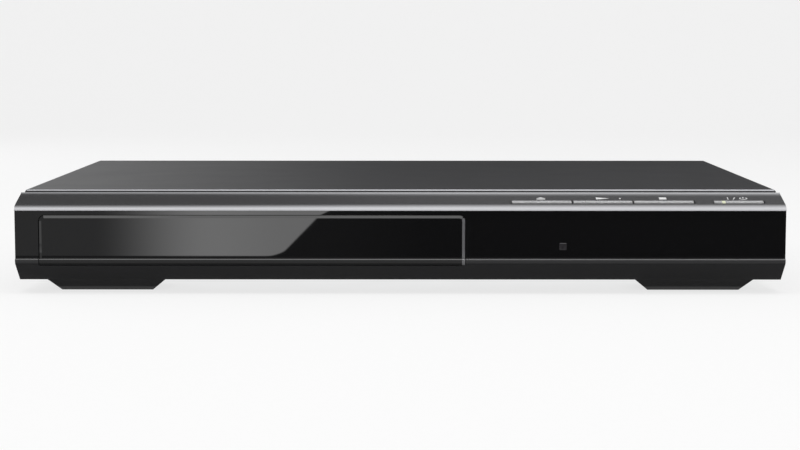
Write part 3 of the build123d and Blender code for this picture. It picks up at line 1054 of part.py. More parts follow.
# Boards: the power supply, with its transformer, capacitors and heat sink
CORE_WIDTH = 30.0
CORE_DEPTH = 14.0
CORE_HEIGHT = 22.0
CORE_LEG = 4.0
COIL_BULGE = 5.0
BIG_CAN_RADIUS = 9.0
BIG_CAN_HEIGHT = 22.0
SMALL_CAN_RADIUS = 4.0
SMALL_CAN_HEIGHT = 13.0
CAN_ROUND = 0.8
SINK_WIDTH = 16.0
SINK_LENGTH_SHARE = 0.27
SINK_LENGTH = SINK_LENGTH_SHARE * POWER_BOARD_LENGTH
SINK_HEIGHT = 20.0
SINK_WALL = 2.0
SINK_FINS = 6
CORE_SHARES = (0.5, 0.45)
BIG_CAN_SHARES = (0.5, 0.17)
SMALL_CAN_SHARES = ((0.5, 0.05), (0.34, 0.29), (0.66, 0.29))
SINK_SHARES = (0.35, 0.7)


def power_place(shares):
    x0, x1, y0, y1 = POWER_BOARD
    return x0 + shares[0] * (x1 - x0), y0 + shares[1] * (y1 - y0)


def make_power_board():
    keep("power_board", board_plate(POWER_BOARD))
    x, y = power_place(CORE_SHARES)
    top_z = BOARD_TOP_Z + CORE_HEIGHT
    core = block(x - CORE_WIDTH / 2, x + CORE_WIDTH / 2, y - CORE_DEPTH / 2, y + CORE_DEPTH / 2, BOARD_TOP_Z, top_z)
    hole_x = CORE_WIDTH / 2 - CORE_LEG
    core -= block(x - hole_x, x + hole_x, y - CORE_DEPTH, y + CORE_DEPTH, BOARD_TOP_Z + CORE_LEG, top_z - CORE_LEG)
    keep("transformer_core", core)
    coil_y = CORE_DEPTH / 2 + COIL_BULGE
    coil = block(x - hole_x + SHAFT_GAP, x + hole_x - SHAFT_GAP, y - coil_y, y + coil_y,
                 BOARD_TOP_Z + CORE_LEG + SHAFT_GAP, top_z - CORE_LEG - SHAFT_GAP)
    keep("transformer_coil", fillet(coil.edges().filter_by(Axis.Z), COIL_BULGE / 2))
    cans = [(BIG_CAN_SHARES, BIG_CAN_RADIUS, BIG_CAN_HEIGHT)]
    cans += [(shares, SMALL_CAN_RADIUS, SMALL_CAN_HEIGHT) for shares in SMALL_CAN_SHARES]
    capacitors = []
    for shares, radius, height in cans:
        can = rod_z(*power_place(shares), BOARD_TOP_Z, BOARD_TOP_Z + height, radius)
        capacitors.append(fillet(can.edges().group_by(Axis.Z)[-1], CAN_ROUND).solid())
    keep("power_capacitors", Compound(capacitors))
    x, y = power_place(SINK_SHARES)
    sink = block(x - SINK_WIDTH / 2, x - SINK_WIDTH / 2 + SINK_WALL, y - SINK_LENGTH / 2, y + SINK_LENGTH / 2,
                 BOARD_TOP_Z, BOARD_TOP_Z + SINK_HEIGHT)
    step = (SINK_LENGTH - SINK_WALL) / (SINK_FINS - 1)
    for n in range(SINK_FINS):
        fin_y = y - SINK_LENGTH / 2 + n * step
        sink += block(x - SINK_WIDTH / 2, x + SINK_WIDTH / 2, fin_y, fin_y + SINK_WALL, BOARD_TOP_Z, BOARD_TOP_Z + SINK_HEIGHT)
    keep("heat_sink", sink)


# Rear: phono sockets in one black block, each with a plated shell round a coloured insert
SHELL_RADIUS = 4.15
SHELL_NECK = 3.95
SHELL_BORE = 3.3
SHELL_SEAT = 4.0
INSERT_RADIUS = SHELL_BORE - SHAFT_GAP
INSERT_SHY = 0.5
INSERT_BORE = 1.7
COLLAR_PROUD = 1.4
SOCKET_MARGIN = 6.0


def make_sockets():
    columns = [column for _, column, _ in SOCKETS]
    left, low = socket_place(min(columns), 0)
    right, top = socket_place(max(columns), 1)
    body = block(left - SOCKET_MARGIN, right + SOCKET_MARGIN, BOARD_REAR_Y - SOCKET_BODY_DEPTH, PAN_REAR_Y,
                 BOARD_TOP_Z, top + SOCKET_MARGIN)
    seat_y = REAR_Y - SHELL_SEAT
    collar_y = REAR_Y + COLLAR_PROUD
    end_y = DEPTH / 2
    shells = []
    inserts = {}
    for colour, column, row in SOCKETS:
        x, z = socket_place(column, row)
        body += rod_y(x, z, PAN_REAR_Y, collar_y, COLLAR_RADIUS)
        body -= rod_y(x, z, seat_y, end_y, SHELL_NECK + SHAFT_GAP)
        shell = rod_y(x, z, collar_y, end_y, SHELL_RADIUS) + rod_y(x, z, seat_y, collar_y, SHELL_NECK)
        shells.append((shell - rod_y(x, z, seat_y - OVERRUN, end_y + OVERRUN, SHELL_BORE)).solid())
        insert = rod_y(x, z, seat_y, end_y - INSERT_SHY, INSERT_RADIUS) - rod_y(x, z, REAR_Y, end_y, INSERT_BORE)
        inserts.setdefault(colour, []).append(insert.solid())
    body -= rod_y(*socket_place(SOCKET_COLUMNS, 0), REAR_Y - SCREW_LENGTH, REAR_Y, SCREW_HOLE)
    keep("socket_block", body)
    keep("socket_shells", Compound(shells))
    for colour, pieces in inserts.items():
        keep(f"{colour}_insert", Compound(pieces) if len(pieces) > 1 else pieces[0])


# Rear: two-pin mains inlet
INLET_FLANGE_THICK = 2.0
INLET_DEPTH = 15.0
INLET_CORNER = 3.0
INLET_FIT = 0.1
CAVITY_DEPTH = 12.5
CAVITY_RADIUS = 4.2
PRONG_PITCH = 8.6
PRONG_RADIUS = 1.2
PRONG_SHY = 2.0
PRONG_SEAT = 1.0
INLET_LEG = 5.0


def around_inlet(half_x, half_z, y0, y1):
    return block(INLET_X - half_x, INLET_X + half_x, y0, y1, INLET_Z - half_z, INLET_Z + half_z)


def make_inlet():
    front_y, face_y = REAR_Y - INLET_DEPTH, REAR_Y + INLET_FLANGE_THICK
    flange = around_inlet(INLET_HALF_WIDTH + INLET_FLANGE, INLET_HALF_HEIGHT + INLET_FLANGE, REAR_Y, face_y)
    flange = fillet(flange.edges().filter_by(Axis.Y), INLET_CORNER)
    body = around_inlet(INLET_HALF_WIDTH - INLET_FIT, INLET_HALF_HEIGHT - INLET_FIT, front_y, REAR_Y)
    leg = block(INLET_X - INLET_LEG, INLET_X + INLET_LEG, front_y, front_y + INLET_LEG, BOARD_TOP_Z, INLET_Z)
    floor_y = face_y - CAVITY_DEPTH
    lobes = [rod_y(INLET_X + side * PRONG_PITCH / 2, INLET_Z, floor_y, face_y + OVERRUN, CAVITY_RADIUS) for side in (-1, 1)]
    neck = around_inlet(PRONG_PITCH / 2, CAVITY_RADIUS - PRONG_RADIUS, floor_y, face_y + OVERRUN)
    prongs = [rod_y(INLET_X + side * PRONG_PITCH / 2, INLET_Z, floor_y - PRONG_SEAT, face_y - PRONG_SHY, PRONG_RADIUS)
              for side in (-1, 1)]
    keep("mains_inlet", flange + body + [leg] - lobes - [neck] - prongs)
    keep("mains_prongs", Compound([prong.solid() for prong in prongs]))


# Cables: flat ribbons from the main board to the front board and under the loader
RIBBON_THICK = 0.4
PLUG_DEPTH = 4.0
PLUG_HEIGHT = 5.0
FRONT_RIBBON_INSET = 20.0
FRONT_PLUG_RISE = 3.6
BEND = 6.0
BEND_SHARES = (0.07, 0.68)


def strip(middle):
    """Outline of a ribbon's edge from the points along its middle."""
    half = RIBBON_THICK / 2
    return make_face(Polyline(*[(u, z + half) for u, z in middle], *[(u, z - half) for u, z in reversed(middle)], close=True))


def make_front_ribbon():
    x0 = FRONT_BOARD_X + FRONT_RIBBON_INSET
    x1 = x0 + RIBBON_WIDTH
    near_y = FRONT_BOARD_Y + BOARD_THICK
    near_z = FACE_LOW_Z + FRONT_PLUG_RISE
    far_y = MAIN_BOARD[2] + BEND
    far_z = BOARD_TOP_Z + PLUG_HEIGHT / 2
    ribbon = prism_x(strip([(near_y + PLUG_DEPTH / 2, near_z + PLUG_HEIGHT / 2), (near_y + PLUG_DEPTH + BEND / 2, near_z + PLUG_HEIGHT / 2),
                            (near_y + PLUG_DEPTH + 2 * BEND, far_z), (far_y + PLUG_DEPTH / 2, far_z)]), x0, x1)
    plugs = [block(x0 - RIBBON_THICK, x1 + RIBBON_THICK, near_y, near_y + PLUG_DEPTH, near_z, near_z + PLUG_HEIGHT),
             block(x0 - RIBBON_THICK, x1 + RIBBON_THICK, far_y, far_y + PLUG_DEPTH, BOARD_TOP_Z, BOARD_TOP_Z + PLUG_HEIGHT)]
    keep("front_ribbon", ribbon + plugs)


def make_loader_ribbon():
    y0, y1 = RIBBON_Y - RIBBON_WIDTH / 2, RIBBON_Y + RIBBON_WIDTH / 2
    plug_x = MAIN_BOARD_X + RIBBON_SLOT
    plug_z = BOARD_TOP_Z + PLUG_HEIGHT / 2
    low_z = BASE_TOP_Z + RIBBON_THICK / 2
    rail_x = LOADER_X + LOADER_HALF
    bend_low, bend_high = (rail_x + share * (plug_x - rail_x) for share in BEND_SHARES)
    face = strip([(LOADER_X + WINDOW_HALF, low_z), (bend_low, low_z), (bend_high, plug_z), (plug_x + PLUG_DEPTH / 2, plug_z)])
    ribbon = Pos(0, y1, 0) * extrude(Plane.XZ * face, amount=y1 - y0)
    plug = block(plug_x, plug_x + PLUG_DEPTH, y0 - RIBBON_THICK, y1 + RIBBON_THICK, BOARD_TOP_Z, BOARD_TOP_Z + PLUG_HEIGHT)
    keep("loader_ribbon", ribbon + plug)


# Screws that hold the loader and the boards, shown as two groups
LOADER_SCREW_LENGTH = 4.0


def make_inner_screws():
    down = (0, 0, -1)
    screws = [screw((x, y, BASE_TOP_Z), down, LOADER_SCREW_LENGTH) for x, y in loader_seat_places()]
    screws += [screw((LOADER_X + side * BRIDGE_SCREW_X, DISC_Y, BRIDGE_TOP_Z), down, SCREW_LENGTH) for side in (-1, 1)]
    keep("loader_screws", Compound([s.solid() for s in screws]))
    screws = [screw((x, y, BOARD_TOP_Z), down, SCREW_LENGTH)
              for board in (MAIN_BOARD, POWER_BOARD) for x, y in board_pillar_places(board)]
    screws += [screw((x, FRONT_BOARD_Y + BOARD_THICK, FRONT_BOSS_Z), (0, -1, 0), SCREW_LENGTH) for x in FRONT_BOSS_X]
    keep("board_screws", Compound([s.solid() for s in screws]))


def main():
    for make in (make_chassis, make_cover, make_rear_panel, make_feet, make_cover_screws, make_bezel, make_panel,
                 make_door, make_keys, make_front_board, make_gears, make_belt, make_loading_motor,
                 make_loader_frame, make_tray, make_clamp, make_deck, make_cam, make_spindle, make_pickup,
                 make_main_board, make_power_board, make_sockets, make_inlet, make_front_ribbon,
                 make_loader_ribbon, make_inner_screws):
        make()
    os.makedirs("parts", exist_ok=True)
    for name, shape in PARTS.items():
        export_step(shape, os.path.join("parts", name + ".step"))


if __name__ == "__main__":
    main()
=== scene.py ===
# %% [markdown]
# # A slim disc player
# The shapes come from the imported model, in metres. This lesson gives each of its parts the finish that the
# real one has, adds the small pieces that are easier as surfaces than as solids, and sets the light and the
# camera as in the photograph.

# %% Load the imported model
import json
import bpy
import numpy as np
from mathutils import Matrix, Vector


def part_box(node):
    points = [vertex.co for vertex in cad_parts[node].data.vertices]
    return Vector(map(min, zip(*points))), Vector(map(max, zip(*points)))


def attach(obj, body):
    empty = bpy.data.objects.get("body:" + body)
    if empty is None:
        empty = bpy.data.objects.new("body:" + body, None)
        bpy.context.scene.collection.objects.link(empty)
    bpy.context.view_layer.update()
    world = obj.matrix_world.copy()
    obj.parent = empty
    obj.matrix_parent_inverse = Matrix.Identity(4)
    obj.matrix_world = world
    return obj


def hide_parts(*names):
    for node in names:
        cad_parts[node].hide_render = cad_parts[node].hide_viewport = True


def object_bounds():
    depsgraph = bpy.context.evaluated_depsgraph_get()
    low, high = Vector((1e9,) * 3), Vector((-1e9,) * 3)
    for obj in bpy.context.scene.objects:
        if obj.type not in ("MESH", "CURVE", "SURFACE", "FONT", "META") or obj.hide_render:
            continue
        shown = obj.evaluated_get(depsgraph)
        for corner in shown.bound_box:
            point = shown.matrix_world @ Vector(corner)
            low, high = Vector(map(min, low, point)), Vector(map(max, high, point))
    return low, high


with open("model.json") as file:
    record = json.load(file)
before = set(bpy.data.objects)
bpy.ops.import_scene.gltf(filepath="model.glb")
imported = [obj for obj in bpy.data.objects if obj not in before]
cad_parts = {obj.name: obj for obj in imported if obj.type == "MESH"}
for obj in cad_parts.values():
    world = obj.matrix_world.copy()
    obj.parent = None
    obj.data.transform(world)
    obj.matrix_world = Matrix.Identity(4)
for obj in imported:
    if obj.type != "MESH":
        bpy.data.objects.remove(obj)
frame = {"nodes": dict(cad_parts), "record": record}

CAD_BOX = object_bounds()
MM = 0.001

# %% [markdown]
# ## Tools for finishes
# A finish is a Principled shader with a pattern behind it. The pattern could be a photograph of the surface,
# but a procedural one has no seams and no fixed size. It reads Object coordinates, so that a scale is a
# number of repeats in a metre, and a grain of half a millimetre is 2000.

# %% Shader with its plain sockets
def new_finish(name, colour, roughness, metallic=0.0, **sockets):
    """A material whose constant values sit on the shader's own sockets."""
    finish = bpy.data.materials.new(name)
    finish.use_nodes = True
    shader = finish.node_tree.nodes["Principled BSDF"]
    shader.inputs["Base Color"].default_value = (*colour, 1.0)
    shader.inputs["Roughness"].default_value = roughness
    shader.inputs["Metallic"].default_value = metallic
    for socket, value in sockets.items():
        shader.inputs[socket.replace("_", " ")].default_value = value
    return finish


def add_node(finish, kind, **settings):
    """A node of a kind, with settings for its properties or its sockets by name."""
    node = finish.node_tree.nodes.new(kind)
    for key, value in settings.items():
        if hasattr(node, key):
            setattr(node, key, value)
        else:
            node.inputs[key].default_value = value
    return node


def wire(finish, source, target):
    """A link from an output to an input."""
    finish.node_tree.links.new(source, target)


def shader_input(finish, name):
    """A socket of the finish's own shader."""
    return finish.node_tree.nodes["Principled BSDF"].inputs[name]


print("shader tools ready")

# %% Patterns that drive colour, roughness and relief
def place(finish, stretch=(1, 1, 1), turn=(0, 0, 0)):
    """Object coordinates, stretched and turned."""
    coords = add_node(finish, "ShaderNodeTexCoord")
    mapping = add_node(finish, "ShaderNodeMapping", Scale=stretch, Rotation=turn)
    wire(finish, coords.outputs["Object"], mapping.inputs["Vector"])
    return mapping.outputs["Vector"]


def grain(finish, size, stretch=(1, 1, 1), detail=3.0):
    """Noise whose clouds are about size millimetres across."""
    noise = add_node(finish, "ShaderNodeTexNoise", Scale=1.0 / (size * MM), Detail=detail)
    wire(finish, place(finish, stretch), noise.inputs["Vector"])
    return noise.outputs["Fac"]


def flakes(finish, size, stretch=(1, 1, 1), output="Color"):
    """Cells about size millimetres across, each with a shade of its own."""
    cells = add_node(finish, "ShaderNodeTexVoronoi", Scale=1.0 / (size * MM))
    wire(finish, place(finish, stretch), cells.inputs["Vector"])
    return cells.outputs[output]


def tint(finish, pattern, dark, pale, low=0.3, high=0.7):
    """The base colour runs from dark to pale as the pattern runs from low to high."""
    ramp = add_node(finish, "ShaderNodeValToRGB")
    ramp.color_ramp.elements[0].position, ramp.color_ramp.elements[1].position = low, high
    ramp.color_ramp.elements[0].color, ramp.color_ramp.elements[1].color = (*dark, 1.0), (*pale, 1.0)
    wire(finish, pattern, ramp.inputs["Fac"])
    wire(finish, ramp.outputs["Color"], shader_input(finish, "Base Color"))
    return ramp.color_ramp


def ramp_value(finish, source, low, high, at_low, at_high):
    """A value that runs from at_low to at_high as the source runs from low to high."""
    span = add_node(finish, "ShaderNodeMapRange")
    for socket, value in (("From Min", low), ("From Max", high), ("To Min", at_low), ("To Max", at_high)):
        span.inputs[socket].default_value = value
    wire(finish, source, span.inputs["Value"])
    return span.outputs["Result"]


def smear(finish, pattern, smooth, rough):
    """The roughness runs between two values with the pattern."""
    wire(finish, ramp_value(finish, pattern, 0.3, 0.7, smooth, rough), shader_input(finish, "Roughness"))


def relief(finish, pattern, depth, strength=1.0):
    """The pattern stands depth millimetres high in the shading."""
    bump = add_node(finish, "ShaderNodeBump", Strength=strength, Distance=depth * MM)
    wire(finish, pattern, bump.inputs["Height"])
    wire(finish, bump.outputs["Normal"], shader_input(finish, "Normal"))


def axes(finish):
    """The Object coordinates x, y and z, each by itself."""
    split = add_node(finish, "ShaderNodeSeparateXYZ")
    wire(finish, place(finish), split.inputs["Vector"])
    return split.outputs["X"], split.outputs["Y"], split.outputs["Z"]


def reckon(finish, operation, *terms):
    """A Math node whose terms are sockets or plain numbers."""
    node = add_node(finish, "ShaderNodeMath", operation=operation)
    for socket, term in zip(node.inputs, terms):
        if isinstance(term, bpy.types.NodeSocket):
            wire(finish, term, socket)
        else:
            socket.default_value = term
    return node.outputs["Value"]


def shade(colour, share):
    """A colour made lighter or darker by a share."""
    return tuple(min(1.0, value * share) for value in colour)


print("pattern tools ready")

# %% [markdown]
# ## Plastics
# The mouldings carry the texture of their steel mould: a fine spark-eroded grain, a little uneven in gloss.
# One recipe serves them all, with a colour, a gloss and the size of the grain.

# %% Moulded plastics
FINISHES = {}


def moulded(slot, colour, roughness, size=0.5, depth=0.02, contrast=0.08):
    """Grained plastic: noise moves the colour by contrast, the gloss a little, and the surface by depth."""
    finish = new_finish(slot, colour, roughness)
    tint(finish, grain(finish, 12.0), shade(colour, 1.0 - contrast), shade(colour, 1.0 + contrast))
    smear(finish, grain(finish, 5.0), roughness - 0.04, roughness + 0.05)
    relief(finish, grain(finish, size, detail=2.0), depth, 0.5)
    FINISHES[slot] = finish


moulded("foot_plastic", (0.020, 0.020, 0.021), 0.50, 0.6, 0.03)
moulded("pad_rubber", (0.045, 0.045, 0.046), 0.80, 0.4, 0.03, 0.2)
moulded("chip_black", (0.020, 0.020, 0.020), 0.55, 0.2, 0.01, 0.2)
moulded("loader_black", (0.030, 0.030, 0.032), 0.45, 0.6, 0.02)
moulded("tray_grey", (0.050, 0.050, 0.052), 0.42, 0.5, 0.02)
moulded("gear_white", (0.75, 0.74, 0.70), 0.38, 0.8, 0.01, 0.04)
moulded("belt_rubber", (0.015, 0.015, 0.015), 0.70, 0.3, 0.02, 0.2)
moulded("socket_plastic", (0.020, 0.020, 0.021), 0.42, 0.5, 0.02)
moulded("can_sleeve", (0.020, 0.030, 0.060), 0.25, 1.0, 0.01)
moulded("insert_green", (0.05, 0.40, 0.10), 0.38, 0.5, 0.01)
moulded("insert_blue", (0.03, 0.12, 0.55), 0.38, 0.5, 0.01)
moulded("insert_red", (0.60, 0.03, 0.03), 0.38, 0.5, 0.01)
moulded("insert_orange", (0.75, 0.25, 0.02), 0.38, 0.5, 0.01)
moulded("insert_yellow", (0.80, 0.62, 0.04), 0.38, 0.5, 0.01)
moulded("insert_white", (0.80, 0.80, 0.78), 0.38, 0.5, 0.01, 0.03)
moulded("ribbon_white", (0.78, 0.78, 0.76), 0.45, 2.0, 0.01, 0.03)
moulded("coil_tape", (0.65, 0.50, 0.08), 0.30, 1.5, 0.02)
moulded("core_ferrite", (0.060, 0.060, 0.065), 0.60, 0.3, 0.03, 0.25)
moulded("magnet_grey", (0.120, 0.120, 0.130), 0.55, 0.3, 0.03, 0.25)
print("plastics:", len(FINISHES))

# %% [markdown]
# ## Front moulding
# The front is one black moulding whose ledge and nose are sprayed dark silver, down to a masking line just
# above the panel. It could be two materials on two sets of faces, but the line runs across a rounded face, so
# the height itself drives the colour and the metal: black below the line, silver lacquer above it.

# %% Black moulding with a sprayed ledge
MASK_LINE, MASK_SOFT = 34.3, 0.15
BLACK, SPRAY = (0.011, 0.011, 0.012), (0.135, 0.135, 0.140)
front = new_finish("front_plastic", BLACK, 0.30)
front_z = axes(front)[2]


def above_line(low_value, high_value):
    """A value that changes from low to high within MASK_SOFT millimetres of the masking line."""
    low, high = (MASK_LINE - MASK_SOFT) * MM, (MASK_LINE + MASK_SOFT) * MM
    return ramp_value(front, front_z, low, high, low_value, high_value)


speckle = reckon(front, "MULTIPLY_ADD", flakes(front, 0.15), 0.10, above_line(0.0, 0.85))
tint(front, speckle, BLACK, SPRAY, 0.1, 0.95)
wire(front, above_line(0.0, 0.9), shader_input(front, "Metallic"))
wire(front, above_line(0.30, 0.27), shader_input(front, "Roughness"))
relief(front, grain(front, 0.4, detail=2.0), 0.001, 0.3)
FINISHES["front_plastic"] = front
print("front moulding sprayed above", MASK_LINE, "mm")

# %% [markdown]
# ## Glossy front
# The panel and the tray door are polished black acrylic. It has almost no colour of its own, so what shows is
# what it mirrors. A faint long wave in the surface keeps the mirror from looking like glass.

# %% Black gloss
# The second colour is a painted highlight for the bevel at the right end of the tray door.
ACRYLIC, BEVEL_HIGHLIGHT = (0.0036, 0.0036, 0.0040), (0.13, 0.13, 0.135)
gloss = new_finish("front_gloss", ACRYLIC, 0.03, IOR=1.49)
smear(gloss, grain(gloss, 18.0), 0.012, 0.024)
relief(gloss, grain(gloss, 40.0, detail=1.0), 0.002, 0.03)
FINISHES["front_gloss"] = gloss
print("gloss ready")

# %% [markdown]
# The bevel at the right end of the tray door gets a paler colour: a painted highlight for the light that falls on
# that side. Its place on the door gives the mask: within a bevel's width of the end, and below the top bevel.

# %% Painted highlight on the bevel at the end of the door
BEVEL, BEVEL_SPARE = 1.15, 0.05
door_end, door_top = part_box("tray_door")[1][0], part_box("tray_door")[1][2]
gloss_x, _, gloss_z = axes(gloss)
highlit_end = reckon(gloss, "COMPARE", gloss_x, door_end - BEVEL / 2 * MM, (BEVEL / 2 + BEVEL_SPARE) * MM)
under_top = reckon(gloss, "LESS_THAN", gloss_z, door_top - BEVEL * MM)
# Painted highlight: the end bevel takes the paler colour.
tint(gloss, reckon(gloss, "MULTIPLY", highlit_end, under_top), ACRYLIC, BEVEL_HIGHLIGHT, 0.0, 1.0)
print("door ends at", round(door_end / MM, 2), "mm")

# %% [markdown]
# The window for the remote control is a dark tinted plastic, less polished than the panel. The light in the
# power key is a short clear rod with a lamp behind it. It could hold a lamp of its own, but a faint emission
# is enough for a rod that is off or dim.

# %% Remote window and light
tinted = new_finish("remote_tint", (0.020, 0.019, 0.021), 0.12, IOR=1.49)
tint(tinted, grain(tinted, 0.8), (0.014, 0.013, 0.015), (0.028, 0.026, 0.029))
smear(tinted, grain(tinted, 6.0), 0.10, 0.16)
FINISHES["remote_tint"] = tinted

pipe = new_finish("light_pipe", (0.68, 0.70, 0.52), 0.30,
                  Emission_Color=(0.85, 0.88, 0.60, 1.0), Emission_Strength=0.15)
tint(pipe, grain(pipe, 0.8), (0.64, 0.66, 0.48), (0.72, 0.74, 0.56))
FINISHES["light_pipe"] = pipe
print("window and light ready")

# %% [markdown]
# ## Silver keys
# The keys are moulded in black and sprayed with a lacquer full of tiny metal flakes. Small cells, each with its
# own shade, give that sparkle. The key ends next to the narrow gaps between the three keys are painted black as
# the shade that falls in the gaps: a mask round each gap, halfway between one key's box and the next.

# %% Silver lacquer, with painted shade at the gaps between keys
silver = new_finish("key_silver", (0.78, 0.78, 0.79), 0.27, 0.80)
GAP_SHADE_REACH = 0.42
NEIGHBOURS = (("eject_key", "play_key"), ("play_key", "stop_key"))
gaps = [(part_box(one)[1][0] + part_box(other)[0][0]) / 2 for one, other in NEIGHBOURS]
silver_x = axes(silver)[0]
flakes_less_gap_shade = flakes(silver, 0.06)
# Painted shade: within a short reach of each gap the key ends are made black, for the shade that falls in the gap.
for gap in gaps:
    flakes_less_gap_shade = reckon(silver, "SUBTRACT", flakes_less_gap_shade, reckon(silver, "COMPARE", silver_x, gap, GAP_SHADE_REACH * MM))
# The dark end of this ramp is the painted shade at the gaps; the rest is the lacquer.
lacquer = tint(silver, flakes_less_gap_shade, (0.02, 0.02, 0.02), (0.81, 0.81, 0.82), 0.0, 0.02)
lacquer.elements.new(1.0).color = (0.825, 0.825, 0.835, 1.0)
smear(silver, grain(silver, 8.0, detail=0.0), 0.265, 0.275)
FINISHES["key_silver"] = silver
print("silver keys with gaps at", np.round(np.array(gaps) / MM, 2), "mm")

# %% [markdown]
# ## Painted and bare metal
# The cover and the rear are steel with a powder paint, which dries with a fine orange peel. Cells in relief give
# the peel; plain noise would look like sand.

# %% Paint
def painted(slot, colour, roughness, peel, depth):
    """Paint: cells of peel millimetres in relief, with a slow change of shade."""
    finish = new_finish(slot, colour, roughness)
    tint(finish, grain(finish, 0.7, detail=2.0), shade(colour, 0.85), shade(colour, 1.15))
    smear(finish, grain(finish, 25.0), roughness - 0.01, roughness + 0.015)
    relief(finish, flakes(finish, peel, output="Distance"), depth, 0.35)
    FINISHES[slot] = finish


painted("cover_paint", (0.026, 0.026, 0.028), 0.36, 0.7, 0.006)
painted("rear_paint", (0.030, 0.030, 0.032), 0.50, 0.7, 0.03)
print("paints ready")

# %% [markdown]
# The cover's front edge is folded under, and the fold shows as a thin bright line: a painted highlight, a paler
# colour with metal along the fold. The fold is straight, so the distance from its outer corner, y less z, drives
# the line.

# %% Painted highlight on the fold at the front of the cover
FOLD_BRIGHT, FOLD_END, FOLD_METAL = 0.56, 0.74, 0.85
MIX_SHARE, MIX_FIRST, MIX_SECOND, MIX_RESULT = 0, 6, 7, 2
cover = FINISHES["cover_paint"]
FOLD_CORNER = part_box("top_cover")[0][1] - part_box("top_cover")[1][2]
_, cover_y, cover_z = axes(cover)
# The mask for the painted highlight along the fold.
fold = ramp_value(cover, reckon(cover, "SUBTRACT", cover_y, cover_z),
                  FOLD_CORNER + FOLD_BRIGHT * MM, FOLD_CORNER + FOLD_END * MM, FOLD_METAL, 0.0)
plain = shader_input(cover, "Base Color").links[0].from_socket
fold_highlight_mix = add_node(cover, "ShaderNodeMix", data_type="RGBA")
# The paler colour here and the metal along the fold are a painted highlight.
fold_highlight_mix.inputs[MIX_SECOND].default_value = (0.20, 0.20, 0.21, 1.0)
wire(cover, fold, fold_highlight_mix.inputs[MIX_SHARE])
wire(cover, plain, fold_highlight_mix.inputs[MIX_FIRST])
wire(cover, fold_highlight_mix.outputs[MIX_RESULT], shader_input(cover, "Base Color"))
wire(cover, fold, shader_input(cover, "Metallic"))
print("fold corner at y - z =", round(FOLD_CORNER / MM, 2), "mm")

# %% [markdown]
# Bare metal shows how it was worked: rolled sheet, drawn rods and plated shells have faint lines, so their noise
# is drawn out one way. The pan is left galvanised, with the flat crystals that zinc makes.

# %% Metal
def metal(slot, colour, roughness, stretch=(1, 1, 1), size=0.8, depth=0.004):
    """Metal: noise drawn out along the rolling direction moves the shade, the gloss and the surface."""
    finish = new_finish(slot, colour, roughness, 1.0)
    lines = grain(finish, size, stretch)
    tint(finish, lines, shade(colour, 0.86), shade(colour, 1.12))
    smear(finish, grain(finish, 6.0, stretch), roughness - 0.06, roughness + 0.08)
    relief(finish, lines, depth, 0.4)
    FINISHES[slot] = finish


metal("screw_steel", (0.35, 0.35, 0.36), 0.34)
metal("motor_steel", (0.55, 0.55, 0.56), 0.30, (1, 1, 0.1))
metal("deck_steel", (0.45, 0.46, 0.47), 0.36, (0.08, 1, 1))
metal("rod_steel", (0.75, 0.75, 0.76), 0.14, (1, 0.05, 1), 0.3)
metal("sled_metal", (0.38, 0.38, 0.40), 0.46, size=0.6, depth=0.02)
metal("sink_aluminium", (0.60, 0.61, 0.62), 0.34, (1, 0.05, 1), 0.6)
metal("shell_plate", (0.70, 0.68, 0.62), 0.18, (1, 0.2, 1), 0.5)
metal("prong_plate", (0.75, 0.66, 0.45), 0.25, (1, 0.2, 1), 0.5)

zinc = new_finish("pan_steel", (0.56, 0.57, 0.58), 0.36, 1.0)
tint(zinc, flakes(zinc, 9.0), (0.46, 0.47, 0.48), (0.62, 0.63, 0.64), 0.1, 0.9)
smear(zinc, flakes(zinc, 9.0), 0.28, 0.46)
relief(zinc, grain(zinc, 1.5), 0.006, 0.3)
FINISHES["pan_steel"] = zinc
print("metals ready:", len(FINISHES))

# %% [markdown]
# ## Boards and lens
# A board is cloth or paper in resin. Green mask with paler copper tracks under it comes from a brick pattern;
# the tan boards show their paper. The lens is coated glass with a bluish sheen.

# %% Boards, lens
green = new_finish("board_green", (0.02, 0.14, 0.06), 0.35)
tracks = add_node(green, "ShaderNodeTexBrick", Scale=60.0, offset=0.37)
for socket, value in (("Color1", (0.015, 0.11, 0.05, 1)), ("Color2", (0.020, 0.13, 0.06, 1)),
                      ("Mortar", (0.05, 0.25, 0.11, 1)), ("Mortar Size", 0.035),
                      ("Brick Width", 0.9), ("Row Height", 0.16)):
    tracks.inputs[socket].default_value = value
wire(green, place(green), tracks.inputs["Vector"])
wire(green, tracks.outputs["Color"], shader_input(green, "Base Color"))
smear(green, grain(green, 4.0), 0.30, 0.42)
relief(green, tracks.outputs["Fac"], 0.03, 0.5)
FINISHES["board_green"] = green

tan = new_finish("board_tan", (0.42, 0.30, 0.15), 0.55)
tint(tan, grain(tan, 0.8, (0.2, 1, 1)), (0.36, 0.25, 0.12), (0.47, 0.34, 0.18))
relief(tan, grain(tan, 0.5), 0.01, 0.4)
FINISHES["board_tan"] = tan

lens = new_finish("lens_glass", (0.60, 0.65, 0.85), 0.04, IOR=1.5, Transmission_Weight=0.6, Coat_Weight=0.5)
tint(lens, grain(lens, 1.0), (0.54, 0.60, 0.84), (0.64, 0.68, 0.86))
FINISHES["lens_glass"] = lens
print("boards and lens ready")

# %% [markdown]
# The record names a material slot for every part. One loop hands out the finishes by that name, so a part that
# is added later gets its look without a new line here.

# %% Each part gets the finish of its slot
for row in frame["record"]["subparts"]:
    part = frame["nodes"][row["node"]]
    part.data.materials.clear()
    part.data.materials.append(FINISHES[row["material_slot"]])

# %% [markdown]
# ## Printed signs
# The signs behind the keys are pad printed in white. They could be a pattern in the paint of the ledge, but
# a thin closed piece stays sharp at any size. Each is an outline, set on the sloping ledge and raised a few
# hundredths of a millimetre.

